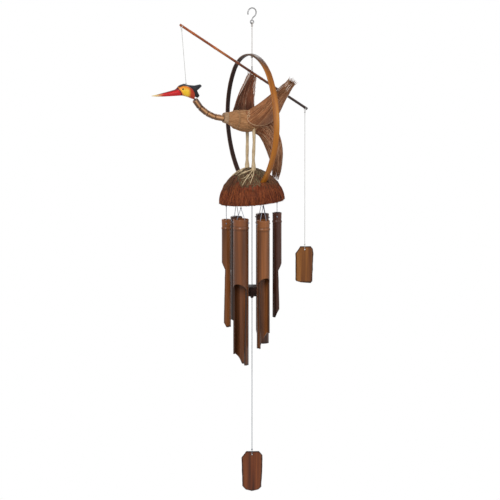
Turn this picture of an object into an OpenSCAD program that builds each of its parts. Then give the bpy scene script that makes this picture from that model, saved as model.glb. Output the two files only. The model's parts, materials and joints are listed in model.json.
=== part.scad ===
// A bobbing-bird wind chime: a fibre crane with a beaded neck stands on half a coconut inside a bent
// bamboo hoop. A balance rod under the hoop's crown holds the head at one end and a wind flag at the
// other, and six bamboo tubes hang round a striker and a wind sail below the coconut.
// The origin is the crest inside the hook, +Z is up, the bird faces -X and the hoop lies in the YZ plane.

/* [Hook and hanging cord] */
// Diameter of the hook's wire
hook_wire = 2.4; // [2:0.1:3]
// Inside diameter of the hook's bend
hook_bend = 16.6; // [13:0.2:22]
// Radius of the reverse bend under the hook, to the middle of the wire
hook_neck_r = 8; // [6:0.5:11]
// How far the hook's tip runs past level, in degrees
hook_tip_turn = 20; // [0:5:35]
// Inside diameter of the eye under the hook
hook_eye = 4.6; // [4.4:0.1:6]
// Diameter of the cord between the hook and the hoop
hanger_d = 1.8; // [1.4:0.1:2.2]
// Distance from the eye's lower bar to the hoop's crown
hanger_len = 61; // [45:1:90]
// Diameter of the knots on the hanging cord
hanger_knot = 5; // [4:0.2:6]

/* [Hoop] */
// Half of the hoop's outside width
hoop_half_w = 100; // [92:1:106]
// Height of the hoop's crown above its widest level
hoop_rise = 131; // [125:1:136]
// Outside radius of the hoop's long sides
hoop_side_r = 170; // [162:1:180]
// Thickness of the bamboo strip
strip_t = 4; // [3:0.2:5]
// Width of the strip on the bird's left, where the culm was thick
strip_w_left = 13; // [11:0.5:15]
// Width of the strip on the bird's right
strip_w_right = 8.5; // [7:0.5:11]
// Drop from the hoop's crown to the coconut's rim
rim_drop = 298; // [294:1:304]

/* [Coconut cap] */
// Diameter across the rim
cap_d = 128; // [122:1:136]
// Height of the dome above the rim
cap_h = 67; // [63:1:71]
// Thickness of the shell and its husk
cap_wall = 9; // [7:0.5:10]
// Fullness of the dome's profile, where 2 is an ellipse
cap_full = 1.85; // [1.8:0.05:2.1]
// Tilt of the cap, in degrees
cap_tilt = 4; // [0:0.5:6]
// Direction of the cap's raised side, in degrees from +X
cap_tilt_dir = -30; // [-180:5:180]
// Depth of the hoop's ends below the dome's top
hoop_seat = 33; // [31:0.5:36]
// Number of combed ridges in the husk
husk_ridges = 14; // [10:1:16]
// Height of a ridge above the dome
ridge_h = 1.4; // [0.8:0.2:1.8]
// Width of a ridge at the rim
ridge_w = 9; // [7:0.5:10]
// Height above the rim of the husk's upper edge
husk_top = 34; // [30:0.5:35]

/* [Bird] */
// Position of the body's front end along X
body_front_x = -67; // [-75:1:-60]
// Drop from the hoop's crown to the body's front end
body_front_drop = 125.4; // [120:0.2:130]
// Length of the body
body_len = 108; // [98:1:116]
// Greatest diameter of the body
body_d = 43; // [38:0.5:47]
// Diameter of the body's front end
body_front_d = 14; // [12.5:0.5:16]
// Downward slope of the body towards the tail, in degrees
body_slope = 10; // [6:0.5:14]
// Length of the cuff round the body's front end
collar_len = 8; // [5:0.5:11]
// Thickness of the cuff
collar_t = 1.4; // [1:0.1:2]
// Diameter of the twine round the body
twine_d = 1.8; // [1.2:0.1:2.4]
// Position of the legs along X
leg_x = -3.5; // [-10:0.5:6]
// Distance between the legs
leg_spread = 26; // [22:0.5:29]
// Diameter of a leg
leg_d = 7; // [6:0.2:8]
// Depth of a leg in the body
leg_socket = 8; // [5:0.5:10]
// Depth of a leg in the coconut
leg_peg = 6; // [4:0.5:6.5]
// Diameter of a toe where it leaves the leg
toe_d = 6; // [4.5:0.2:6.6]
// Diameter of a toe at its end
toe_tip_d = 2.4; // [1.6:0.2:3.4]
// Length of the longest toe over the dome
toe_len = 42; // [32:1:46]
// How far a toe bows sideways
toe_sway = 3; // [0:0.5:5]
// Length of a wing's root along the body
wing_root = 54; // [44:1:58]
// Thickness of a wing at its root
wing_t = 9; // [6:0.5:11]
// Width of the left wing's tip
left_tip_w = 18; // [12:1:24]
// Where the left wing bends, from its root
left_wing_bend = [19, -31, 31]; // [-60:1:60]
// Where the left wing ends, from its root
left_wing_tip = [51, -44, 75]; // [-100:1:100]
// Width of the right wing's tip
right_tip_w = 16; // [12:1:24]
// Where the right wing bends, from its root
right_wing_bend = [13, 37, 44]; // [-60:1:60]
// Where the right wing ends, from its root
right_wing_tip = [32, 44, 81]; // [-100:1:100]
// Width of the tail at its broadest
tail_w = 38; // [30:1:44]
// Thickness of the tail at its root
tail_t = 26; // [20:1:30]
// Thickness of the tail at its tip
tail_tip_t = 14; // [8:1:18]
// Extra half thickness of the tail's bushy middle
tail_swell = 5; // [0:0.5:7]
// Where the tail bends, from its root
tail_bend = [32, 2, -22]; // [-60:1:60]
// Where the tail ends, from its root
tail_tip = [37, 5, -96]; // [-120:1:120]

/* [Neck and head] */
// Length of neck that each bead takes
bead_pitch = 20; // [18:0.5:22]
// Diameter of a neck bead
bead_d = 12.6; // [11:0.2:14]
// Gap between neck beads, measured on the cord
bead_gap = 2.2; // [2:0.1:2.8]
// Bore of a neck bead
bead_bore = 3.4; // [3:0.1:4.4]
// Diameter of the cord in the neck
neck_cord_d = 2.4; // [1.8:0.1:2.6]
// Rise of the first bead, in degrees
neck_rise = 12.5; // [8:0.5:16]
// Bend between one bead and the next, in degrees
neck_turn = 13.5; // [11:0.5:15]
// Length of the skull
skull_len = 46; // [42:1:50]
// Height of the skull
skull_h = 25; // [22:0.5:28]
// Thickness of the head from side to side
head_w = 19; // [16:0.5:22]
// Length of the bill in front of the skull
bill_len = 66; // [54:1:76]
// Diameter of the bill where it leaves the skull
bill_d = 13; // [11:0.5:15]
// Distance of the skull's middle in front of the top of the neck
skull_ahead = 20; // [16:0.5:24]
// Height of the skull's middle above the top of the neck
skull_up = 17; // [14:0.5:20]
// Thickness of the crest
crest_t = 6; // [4:0.5:8]

/* [Balance rod and flag] */
// Diameter of the balance rod
rod_d = 5.5; // [5:0.1:6.5]
// Length of the rod from its pivot to the front tip
rod_front = 197; // [185:1:205]
// Length of the rod from its pivot to the back tip
rod_back = 152; // [140:1:165]
// Slope of the rod at rest, in degrees, front end up
rod_slope = 32.8; // [28:0.2:36]
// Drop from the hoop's crown to the rod's pivot
pivot_drop = 37.4; // [32:0.2:44]
// Distance from the front tip to its thread hole
rod_front_inset = 3.5; // [3:0.5:8]
// Distance from the back tip to its thread hole
rod_back_inset = 6; // [3:0.5:10]
// Diameter of the threads on the rod
thread_d = 1.2; // [1:0.1:1.4]
// Diameter of the knots on the threads
thread_knot = 3.2; // [2.6:0.2:4]
// Length of the loops that hold the rod and hang from it
sling_len = 11; // [9:0.5:14]
// Length from the rod's back hole to the flag's top edge
flag_drop = 282; // [240:1:320]
// Width of the flag
flag_w = 35; // [28:0.5:44]
// Length of the flag
flag_h = 73; // [60:1:90]

/* [Tubes] */
// Directions of the six tubes, in degrees from +X
tube_angle = [150, 97, 215, 267, 35, 330]; // [0:1:360]
// Diameters of the six tubes
tube_d = [17, 22, 31, 26, 26, 18]; // [16:0.5:32]
// Lengths of the six tubes
tube_len = [218, 236, 295, 259, 263, 212]; // [190:1:310]
// Drops from the tie holes in the coconut to the tubes' tops
tube_hang = [42, 43.6, 37, 42.6, 42.3, 35.3]; // [34:0.1:50]
// Distances from the tubes' tops to the start of their scooped sides
tube_scoop = [87, 98, 130, 116, 115, 103]; // [70:1:140]
// Heights of the slanted starts of the scoops
scoop_rise = [14, 10, 13, 11, 11, 14]; // [8:0.5:16]
// Distance of the scooped face from the tube's axis where it starts, as a share of its radius
scoop_face = 0.3; // [0:0.05:0.4]
// The same distance at the tip, where the scoop runs out
scoop_end = 0.6; // [0.3:0.05:0.7]
// Sides on which the tips are cut away, in degrees from the tube's outward side
tip_side = [0, 90, -90, 90, 90, 0]; // [-180:5:180]
// Where each tip's slant begins, from the axis towards that side, as a share of the radius
tip_level = [0, -0.25, 0.25, -0.25, -0.25, -0.5]; // [-0.6:0.05:0.6]
// Wall of the bamboo tubes
tube_wall = 3; // [2.4:0.1:3.2]
// Distance from a tube's top to its node
tube_node = 18; // [15:0.5:24]
// Height of the ridge at the node
node_ridge = 1; // [0.6:0.1:1.6]
// Distance from a tube's top to its tie holes
tube_hole_drop = 7; // [5:0.5:8]
// Diameter of the cords that tie the tubes
tie_d = 1.4; // [1:0.1:1.6]
// Height of the tie holes above the coconut's rim
tie_h = 9; // [7:0.5:12]
// Diameter of the knots on the ties
tie_knot = 4.2; // [3.4:0.2:4.6]

/* [Striker and sail] */
// Diameter of the cord through the striker
striker_cord_d = 1.8; // [1.4:0.1:2.2]
// Diameter of the knots above and below the striker cord
striker_knot = 7; // [6:0.5:8]
// Diameter of the striker
striker_d = 46; // [40:1:48]
// Thickness of the striker
striker_t = 19; // [12:1:24]
// Drop from the coconut's rim to the middle of the striker
striker_drop = 181; // [160:1:200]
// Diameter of the cord that carries the sail
sail_cord_d = 1.6; // [1.2:0.1:1.8]
// Length from the striker's underside to the sail's top edge
sail_drop = 318; // [280:1:350]
// Width of the sail
sail_w = 41; // [34:0.5:50]
// Length of the sail
sail_h = 81; // [70:1:95]
// Direction that the sail and the flag face, in degrees from +X
slat_facing = -120; // [-180:5:180]
// Thickness of the bamboo slats
slat_t = 4.4; // [3.5:0.1:5]
// Radius of the culm that the slats were split from
slat_culm_r = 70; // [50:5:120]

/* [Clearances] */
// Gap between pieces that move against each other
run_gap = 0.3; // [0.25:0.05:0.4]
// Gap round a piece that is glued or sewn in its seat
fit_gap = 0.2; // [0.1:0.05:0.25]
// Gap round a cord in its hole
cord_gap = 0.25; // [0.2:0.05:0.4]

/* [Hidden] */
$fn = 64;

// Overlap between pieces of one solid, so that they fuse cleanly
bite = 0.4;
// Length by which a cut runs past the face that it opens
cut = 1;
// Bends of a cord are a little fatter than the cord
bend_swell = 1.15;

// Heights down the chime
bend_r = (hook_bend + hook_wire) / 2;
bend_z = -hook_bend / 2;
shank_z = bend_z - sqrt(bend_r * bend_r + 2 * bend_r * hook_neck_r);
shank_turn = atan2(shank_z - bend_z, hook_neck_r);
eye_r = (hook_eye + hook_wire) / 2;
eye_z = shank_z + bite - eye_r;
bar_z = eye_z - eye_r;
crown_z = bar_z - hanger_len;
strip_mid_z = crown_z - strip_t / 2;
hoop_knot_z = crown_z - strip_t - run_gap - hanger_knot / 2;
pivot = [0, 0, crown_z - pivot_drop];
cap_z = crown_z - rim_drop;

// Hoop: a crown arc between two side arcs, all tangent
hoop_mid_z = crown_z - hoop_rise;
side_shift = hoop_side_r - hoop_half_w;
crown_r = (2 * hoop_side_r * hoop_half_w - hoop_half_w * hoop_half_w - hoop_rise * hoop_rise)
    / (2 * (hoop_side_r - hoop_rise));
crown_turn = atan2(hoop_rise - crown_r, side_shift);
foot_turn = asin((hoop_mid_z - (cap_z + cap_h - hoop_seat)) / hoop_side_r);

// Coconut cap
cap_r = cap_d / 2;
cap_bands = 16;

// Height of the dome at a distance from its axis, above the rim
function dome_h(r) = cap_h * pow(1 - pow(r / cap_r, cap_full), 1 / cap_full);

// Radius of the dome at a height above the rim
function dome_r(z) = cap_r * pow(1 - pow(z / cap_h, cap_full), 1 / cap_full);

// A point of the upright cap, above its rim's middle, carried to the tilted cap
function tilted(p, turn = cap_tilt) =
    let (
        side = [cos(cap_tilt_dir), sin(cap_tilt_dir), 0],
        out = p * side,
        moved = out * cos(turn) - p.z * sin(turn)
    )
    [p.x, p.y, 0] + (moved - out) * side + [0, 0, out * sin(turn) + p.z * cos(turn)];

// A point of the standing chime, carried back to the upright cap
function upright(p) = tilted(p - [0, 0, cap_z], -cap_tilt);

// Bird body, a spindle along its own sloping axis
body_front = [body_front_x, 0, crown_z - body_front_drop];
body_bands = 18;
body_lean = 0.95;
body_swell = 1.6;
function body_r(s) =
    body_front_d / 2 + (body_d - body_front_d) / 2 * pow(sin(180 * pow(s, body_lean)), body_swell);
function body_at(s) = body_front + body_len * s * [cos(body_slope), 0, -sin(body_slope)];
leg_s = (leg_x - body_front_x) / (body_len * cos(body_slope));
leg_top_z = body_at(leg_s).z + leg_socket - sqrt(pow(body_r(leg_s), 2) - pow(leg_spread / 2, 2));
leg_bottom_z = cap_z + dome_h(norm([leg_x, leg_spread / 2])) - leg_peg;

// Neck, a chain of beads that curls up from the body
beads = 4;
function bead_rise(i) = neck_rise + neck_turn * i;
function bead_dir(i) = [-cos(bead_rise(i)), 0, sin(bead_rise(i))];
function neck_at(i) = i == 0 ? body_front : neck_at(i - 1) + bead_pitch * bead_dir(i - 1);
bead_chamfer = bead_d / 10;
neck_stub = 15;

// Head, drawn from the top of the neck
nape = neck_at(beads);
skull_slope = 14;
skull_mid = nape + [-skull_ahead, 0, skull_up];
skull_bands = 16;
skull_front = skull_mid + skull_len / 2 * [-cos(skull_slope), 0, sin(skull_slope)];
bill_drop = 7;
bill_sink = 10;
bill_low = 6;
bill_tip_d = 1.6;
bill_root = skull_front + [bill_sink, 0, -bill_low];
bill_tip = bill_root + [-bill_sink - bill_len * cos(bill_drop), 0, -bill_len * sin(bill_drop)];
peg_d = 3.4;
peg_sink = 6;
peg_stand = 2.6;
peg_top = skull_mid + [0, 0, skull_h / 2 + peg_stand];
thread_end = peg_top + [0, 0, run_gap * 1.5 + thread_knot / 2];

// Balance rod
function on_rod(x) = pivot + x * [cos(rod_slope), 0, -sin(rod_slope)];
front_hole = on_rod(rod_front_inset - rod_front);
back_hole = on_rod(rod_back - rod_back_inset);
thread_hole_d = thread_d + 2 * cord_gap;
sling_half = rod_d / 2 + run_gap + thread_d;

// Slats
ring_play = 2.2;
hole_play = 2.2;
slat_ring_r = slat_t / 2 + ring_play;
slat_hole_d = sail_cord_d + hole_play;
slat_hole_drop = 2 * slat_ring_r - slat_hole_d / 2 - run_gap;
flag_top = back_hole - [0, 0, flag_drop];
striker_z = cap_z - striker_drop;
striker_foot_z = striker_z - striker_t / 2;
low_knot_z = striker_foot_z - fit_gap - striker_knot / 2;
sail_top = [0, 0, striker_foot_z - sail_drop];

// Tubes and ties
ring_inset = 4;
ring_r = cap_r - cap_wall - ring_inset;
tie_seat_depth = 3.5;
tie_seat_r = cap_r - cap_wall + tie_seat_depth;
apex_below_rim = 6;
tie_apex_drop = tie_h + apex_below_rim;
tube_count = len(tube_d);
tip_slope = 62;
stop_knot = 3.2;
tie_hole_d = tie_d + 2 * cord_gap;
function tie_hole(k) =
    tilted([ring_r * cos(tube_angle[k]), ring_r * sin(tube_angle[k]), tie_h]) + [0, 0, cap_z];
function tube_top(k) = tie_hole(k) - [0, 0, tube_hang[k]];

// Centre knot, which sits in a recess at the top of the dome
centre_recess = 5;
centre_seat_z = cap_z + cap_h - centre_recess;
centre_knot_z = centre_seat_z + run_gap + striker_knot / 2;
striker_play = 2.4;
centre_hole_d = striker_cord_d + striker_play;

// A point between two others
function between(a, b, t) = a * (1 - t) + b * t;

// A point on the curve that leaves a towards b and arrives at c
function curve(a, b, c, t) = between(between(a, b, t), between(b, c, t), t);

// A straight round strand between two points
module strand(a, b, d) {
    run = b - a;
    translate(a)
        rotate([0, acos(run.z / norm(run)), atan2(run.y, run.x)])
            cylinder(h = norm(run), d = d);
}

// A round knot or bend
module knot(at, d) {
    translate(at) sphere(d = d);
}

// A wire ring round the Y axis, or an arc of one from angle a0 over angle turn in the XZ plane
module arc_xz(r, d, a0 = 0, turn = 360) {
    rotate([90, 0, 0]) rotate([0, 0, a0]) rotate_extrude(angle = turn) translate([r, 0]) circle(d = d);
}

// A closed skin over rings of points, each ring with the same count
module loft(rings) {
    n = len(rings[0]);
    last = len(rings) - 1;
    polyhedron(
        points = [for (ring = rings) each ring],
        faces = concat(
            [[for (j = [0:n - 1]) j]],
            [for (i = [0:last - 1], j = [0:n - 1]) [i * n + j, (i + 1) * n + j, i * n + (j + 1) % n]],
            [for (i = [0:last - 1], j = [0:n - 1])
                [i * n + (j + 1) % n, (i + 1) * n + j, (i + 1) * n + (j + 1) % n]],
            [[for (j = [n - 1:-1:0]) last * n + j]]
        )
    );
}

// A lens-shaped section of a fibre blade, cupped towards its thickness
function blade_ring(mid, along, across, half_w, half_t, cup, n = 14) =
    [for (j = [0:n - 1]) let (a = 360 * j / n)
        mid + along * half_w * cos(a) + across * (half_t * sin(a) - cup * cos(a) * cos(a))];

// Runs children in the tilted cap's own frame, with z from the rim
module in_cap() {
    translate([0, 0, cap_z])
        rotate([0, 0, cap_tilt_dir])
            rotate([0, -cap_tilt, 0])
                rotate([0, 0, -cap_tilt_dir])
                    children();
}

// A loop of thread through a hole along Y: a cross strand and two legs that meet at a knot
module sling(half, reach, knot_at) {
    strand([0, -half, 0], [0, half, 0], thread_d);
    for (y = [-half, half]) {
        knot([0, y, 0], thread_d * bend_swell);
        strand([0, y, 0], knot_at * reach, thread_d);
    }
    knot(knot_at * reach, thread_knot);
}

// Hook with its eye
module hook() {
    overlap = 3;
    shank_step = 0.2;
    color("silver") {
        translate([0, 0, bend_z])
            arc_xz(bend_r, hook_wire, shank_turn, 180 + hook_tip_turn - shank_turn);
        translate([hook_neck_r, 0, shank_z])
            arc_xz(hook_neck_r, hook_wire - shank_step, 180 + shank_turn - overlap, overlap - shank_turn);
        translate([0, 0, eye_z]) arc_xz(eye_r, hook_wire);
    }
}

// Cord from the hook's eye through the hoop's crown
module hanger_cord() {
    loop_r = hook_wire / 2 + run_gap + hanger_d / 2;
    eye_knot = hanger_knot - 1;
    color("wheat") {
        translate([0, 0, bar_z]) rotate([0, 0, 90]) arc_xz(loop_r, hanger_d);
        knot([0, 0, bar_z - loop_r - eye_knot / 2], eye_knot);
        strand([0, 0, bar_z - loop_r], [0, 0, hoop_knot_z + hanger_knot / 2 + run_gap], hanger_d);
    }
}

// Knot under the hoop's crown that carries the hoop
module hoop_knot() {
    color("wheat") knot([0, 0, hoop_knot_z], hanger_knot);
}

// One arc of the bamboo strip, in the YZ plane
module strip_arc(r, a0, turn, grow) {
    width = max(strip_w_left, strip_w_right) + 2 * grow;
    rotate([90, 0, 90])
        rotate([0, 0, a0])
            rotate_extrude(angle = turn)
                translate([r - strip_t - grow, -width / 2])
                    square([strip_t + 2 * grow, width]);
}

// The bent strip, grown on all sides for the slots that it passes through
module bent_strip(grow = 0) {
    taper = (strip_w_left - strip_w_right) / 4;
    mid_w = (strip_w_left + strip_w_right) / 4 + grow;
    reach = hoop_half_w + grow + cut;
    lap = 3;
    lap_step = 0.1;
    intersection() {
        union() {
            translate([0, 0, crown_z - crown_r])
                strip_arc(crown_r, crown_turn - lap, 180 - 2 * (crown_turn - lap), grow - lap_step);
            for (side = [0, 1])
                mirror([0, side, 0])
                    translate([0, -side_shift, hoop_mid_z])
                        strip_arc(hoop_side_r, -foot_turn, foot_turn + crown_turn, grow);
        }
        translate([0, 0, cap_z])
            linear_extrude(height = rim_drop + grow + cut)
                polygon([
                    [-mid_w - taper, -reach], [mid_w + taper, -reach],
                    [mid_w - taper, reach], [-mid_w + taper, reach]
                ]);
    }
}

// Bent bamboo hoop
module hoop() {
    color("saddlebrown")
        difference() {
            bent_strip();
            translate([0, 0, crown_z - strip_t - cut])
                cylinder(h = strip_t + 2 * cut, d = hanger_d + 4 * cord_gap);
        }
}

// Cord from the hoop's knot to the loop that holds the rod
module pivot_cord() {
    color("wheat")
        strand(
            [0, 0, hoop_knot_z - hanger_knot / 2 - run_gap],
            pivot + [0, 0, sling_len + thread_knot / 2 + fit_gap],
            hanger_d
        );
}

// Brown loop through the rod's pivot hole
module pivot_loop() {
    color("maroon") translate(pivot) sling(sling_half, sling_len, [0, 0, 1]);
}

// Profile of a dome from its rim to its top
function dome_profile(r, h) = concat(
    [[0, 0]],
    [for (i = [0:cap_bands]) let (a = 90 * i / cap_bands)
        [r * pow(cos(a), 2 / cap_full), h * pow(sin(a), 2 / cap_full)]]
);

// A combed ridge of husk, from under the husk's upper edge to just below the rim
module husk_ridge() {
    rows = 6;
    fade = 12;
    sunk = 0.5;
    root = 3;
    foot = 0.8;
    turn = ridge_w / cap_r * 180 / PI;
    heights = [for (i = [0:rows]) husk_top * i / rows];
    rotate([0, 0, -turn / 2])
        rotate_extrude(angle = turn)
            polygon(concat(
                [[cap_r - root, -foot], [cap_r + ridge_h, -foot]],
                [for (z = heights)
                    [dome_r(z) + between(-sunk, ridge_h, min(1, (husk_top - z) / fade)), z]],
                [for (i = [rows:-1:1]) [dome_r(heights[i]) - root, heights[i]]]
            ));
}

// The husk's upper edge, a low bead round the crown
module husk_edge() {
    half = 2.5;
    root = 3;
    rotate_extrude()
        polygon([
            [dome_r(husk_top - half) - root, husk_top - half],
            [dome_r(husk_top) + ridge_h, husk_top],
            [dome_r(husk_top + half) - root, husk_top + half]
        ]);
}

// Half coconut with the slots, sockets and holes that the other pieces use
module coconut_cap() {
    color("sienna")
        difference() {
            in_cap() {
                rotate_extrude() polygon(dome_profile(cap_r, cap_h));
                husk_edge();
                for (i = [0:husk_ridges - 1]) rotate([0, 0, 360 * i / husk_ridges]) husk_ridge();
            }
            in_cap() translate([0, 0, -bite])
                rotate_extrude() polygon(dome_profile(cap_r - cap_wall, cap_h - cap_wall + bite));
            bent_strip(fit_gap);
            for (y = [-leg_spread / 2, leg_spread / 2])
                translate([leg_x, y, leg_bottom_z - fit_gap])
                    cylinder(h = cap_h, d = leg_d + 2 * fit_gap);
            translate([0, 0, cap_z]) cylinder(h = 2 * cap_h, d = centre_hole_d);
            translate([0, 0, centre_seat_z]) cylinder(h = cap_h, d = striker_knot + 2 * run_gap);
            for (k = [0:tube_count - 1])
                translate(tie_hole(k)) rotate([0, 90, tube_angle[k]]) {
                    cylinder(h = cap_r, d = tie_hole_d);
                    translate([0, 0, tie_seat_r - ring_r])
                        cylinder(h = cap_r, d = tie_knot + 2 * run_gap);
                }
        }
}

// The body's spindle along its axis, grown for pieces that are sewn onto it
module body_spindle(grow = 0) {
    translate(body_front)
        rotate([0, 90 + body_slope, 0])
            translate([0, 0, bead_gap / 2])
                rotate_extrude()
                    polygon(concat(
                        [[0, -grow]],
                        [for (i = [0:body_bands]) let (s = i / body_bands)
                            [body_r(s) + grow, (body_len - bead_gap) * s + (i == 0 ? -grow : 0)]],
                        [[0, body_len - bead_gap]]
                    ));
}

// Fibre body with the sockets for the legs and the neck cord
module bird_body() {
    color("peru")
        difference() {
            body_spindle();
            for (y = [-leg_spread / 2, leg_spread / 2])
                translate([leg_x, y, leg_top_z + fit_gap - body_d])
                    cylinder(h = body_d, d = leg_d + 2 * fit_gap);
            strand(body_at(-cut / body_len), body_at(neck_stub / body_len), neck_cord_d + 2 * fit_gap);
        }
}

// Cuff round the body's front end
module neck_collar() {
    collar_bands = 4;
    color("gainsboro")
        translate(body_front)
            rotate([0, 90 + body_slope, 0])
                translate([0, 0, bead_gap / 2])
                    rotate_extrude()
                        polygon(concat(
                            [for (i = [0:collar_bands]) let (z = collar_len * i / collar_bands)
                                [body_r(z / (body_len - bead_gap)) + fit_gap, z]],
                            [for (i = [collar_bands:-1:0]) let (z = collar_len * i / collar_bands)
                                [body_r(z / (body_len - bead_gap)) + fit_gap + collar_t, z]]
                        ));
}

// Where a wing's root sits beside the body's axis
function wing_seat(side, height) = [0, side * body_d / 4, height];

// A cupped fibre wing from its root to its tip, sewn against the body
module wing(root, bend, tip, tip_chord, drop) {
    rings = 11;
    narrowing = 1.2;
    tip_half_t = 1.2;
    root_cup = 2;
    mid_cup = 6;
    along = [cos(drop), 0, -sin(drop)];
    across = cross(along, tip / norm(tip));
    difference() {
        loft([for (i = [0:rings]) let (t = i / rings)
            blade_ring(
                root + curve([0, 0, 0], bend, tip, t), along, across,
                between(wing_root / 2, tip_chord / 2, pow(t, narrowing)),
                between(wing_t / 2, tip_half_t, t), between(root_cup, mid_cup, sin(180 * t))
            )]);
        body_spindle(fit_gap);
    }
}

// Wing on the bird's left, swept back
module left_wing() {
    share = 0.7;
    drop = 26;
    color("tan")
        wing(body_at(share) + wing_seat(-1, 9), left_wing_bend, left_wing_tip, left_tip_w, drop);
}

// Wing on the bird's right, held higher
module right_wing() {
    share = 0.6;
    drop = 10;
    color("tan")
        wing(body_at(share) + wing_seat(1, 8), right_wing_bend, right_wing_tip, right_tip_w, drop);
}

// Drooping tail of fibre
module tail() {
    rings = 12;
    share = 0.86;
    root_low = 7;
    root_lean = 40;
    root_fill = 0.72;
    widest = 1.3;
    tip_pinch = 0.35;
    bushiest = 0.8;
    root = body_at(share) - [0, 0, root_low];
    color("peru")
        difference() {
            loft([for (i = [0:rings])
                let (
                    t = i / rings,
                    lean = between(root_lean, 90, t),
                    fill = between(root_fill, 1, sin(180 * pow(t, widest)))
                )
                blade_ring(
                    root + curve([0, 0, 0], tail_bend, tail_tip, t), [0, 1, 0], [sin(lean), 0, cos(lean)],
                    tail_w / 2 * fill * (1 - tip_pinch * pow(t, 4)),
                    between(tail_t, tail_tip_t, t * t) / 2 + tail_swell * sin(180 * pow(t, bushiest)), 0
                )]);
            body_spindle(fit_gap);
        }
}

// A toe that runs over the dome from the foot of a leg
module toe(start, turn, reach) {
    rings = 8;
    sides = 8;
    lift = 2 * run_gap;
    loft([for (i = [0:rings])
        let (
            t = i / rings,
            flat = start + reach * t * [cos(turn), sin(turn)]
                + toe_sway * sin(180 * t) * [-sin(turn), cos(turn)],
            r = between(toe_d, toe_tip_d, t) / 2,
            mid = [flat.x, flat.y, dome_h(norm(flat)) + r + lift]
        )
        [for (j = [0:sides - 1]) let (a = 360 * j / sides)
            mid + r * (cos(a) * [-sin(turn), cos(turn), 0] + sin(a) * [0, 0, 1])]]);
}

// Direction of each toe from straight ahead, in degrees, and its share of the longest toe's length
toe_fan = [[-14, 0.78], [24, 1], [46, 0.85]];

// A twig leg, pegged into the body and the coconut, with root-like toes
module leg(side) {
    foot = upright([leg_x, side * leg_spread / 2, cap_z + dome_h(norm([leg_x, leg_spread / 2]))]);
    start = [foot.x, foot.y];
    color("burlywood") {
        translate([leg_x, side * leg_spread / 2, leg_bottom_z])
            cylinder(h = leg_top_z - leg_bottom_z, d = leg_d);
        in_cap() for (one = toe_fan) toe(start, 180 - side * one[0], toe_len * one[1]);
    }
}

module left_leg() {
    leg(-1);
}

module right_leg() {
    leg(1);
}

// Twine tied round the body in front of the wings
module body_twine() {
    s = 0.27;
    stand = 0.6;
    color("ivory")
        translate(body_at(s))
            rotate([0, 90 + body_slope, 0])
                rotate_extrude()
                    translate([body_r(s) + fit_gap + twine_d / 2 + stand, 0])
                        circle(d = twine_d);
}

// Neck cord where it is glued into the body
module neck_cord_root() {
    color("khaki")
        strand(body_at(fit_gap / body_len), body_at((neck_stub - fit_gap) / body_len), neck_cord_d);
}

// A bamboo bead with eased ends
module neck_bead(i) {
    length = bead_pitch - bead_gap;
    color("chocolate")
        translate(neck_at(i) + bead_dir(i) * bead_gap / 2)
            rotate([0, bead_rise(i) - 90, 0])
                rotate_extrude()
                    polygon([
                        [bead_bore / 2, 0], [bead_d / 2 - bead_chamfer, 0],
                        [bead_d / 2, bead_chamfer], [bead_d / 2, length - bead_chamfer],
                        [bead_d / 2 - bead_chamfer, length], [bead_bore / 2, length]
                    ]);
}

// Length of the neck cord inside one bead
module neck_cord(i) {
    color("khaki")
        strand(
            neck_at(i) + bead_dir(i) * run_gap, neck_at(i + 1) - bead_dir(i) * run_gap, neck_cord_d
        );
}

// Neck cord where it is glued into the head
module neck_cord_head() {
    color("khaki")
        strand(nape + bead_dir(beads) * run_gap, nape + bead_dir(beads) * neck_stub, neck_cord_d);
}

// Outline of the crest behind the head, from the brow to the nape
crest_outline = [
    [-24, 33], [-14, 31], [-2, 28], [14, 31], [17, 27], [4, 18], [9, 8], [2, 4], [-8, 12], [-16, 24]
];

// Carved head with its bill, crest and the peg that the thread is tied to
module head() {
    throat_len = 16;
    throat_ease = 3;
    throat_r = bead_d / 2 - 2 * bead_chamfer;
    difference() {
        union() {
            color("gold")
                intersection() {
                    union() {
                        translate(skull_mid)
                            rotate([0, -90 + skull_slope, 0])
                                rotate_extrude()
                                    polygon([for (i = [0:skull_bands]) let (a = 180 * i / skull_bands)
                                        [skull_h / 2 * sin(a), -skull_len / 2 * cos(a)]]);
                        translate(nape + bead_dir(beads) * bead_gap / 2)
                            rotate([0, bead_rise(beads) - 90, 0])
                                cylinder(h = throat_len, r1 = throat_r, r2 = skull_h / 2 - throat_ease);
                    }
                    translate(skull_mid) cube([2 * skull_len, head_w, 4 * skull_h], center = true);
                }
            color("crimson")
                translate(bill_root) {
                    run = bill_tip - bill_root;
                    rotate([0, acos(run.z / norm(run)), atan2(run.y, run.x)])
                        cylinder(h = norm(run), d1 = bill_d, d2 = bill_tip_d);
                }
            color("midnightblue") {
                translate(nape)
                    rotate([90, 0, 0])
                        linear_extrude(height = crest_t, center = true)
                            polygon(crest_outline);
                strand(peg_top - [0, 0, peg_sink], peg_top, peg_d);
            }
        }
        strand(nape - bead_dir(beads) * cut, nape + bead_dir(beads) * (neck_stub + fit_gap),
            neck_cord_d + 2 * fit_gap);
    }
}

// Bamboo balance rod with its three thread holes
module balance_rod() {
    color("sienna")
        difference() {
            translate(pivot)
                rotate([0, 90 + rod_slope, 0])
                    translate([0, 0, -rod_front])
                        cylinder(h = rod_front + rod_back, d = rod_d);
            for (at = [front_hole, pivot, back_hole])
                translate(at) rotate([90, 0, 0]) cylinder(h = 2 * rod_d, d = thread_hole_d, center = true);
        }
}

// Thread from the rod's front tip to the bird's head
module head_thread() {
    way = (thread_end - front_hole) / norm(thread_end - front_hole);
    color("gainsboro") {
        translate(front_hole) sling(sling_half, sling_len, way);
        strand(front_hole + way * sling_len, thread_end, thread_d);
        knot(thread_end, thread_knot);
    }
}

// Loop of thread through the rod's back hole
module tail_tie() {
    color("gainsboro") translate(back_hole) sling(sling_half, sling_len, [0, 0, -1]);
}

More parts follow.
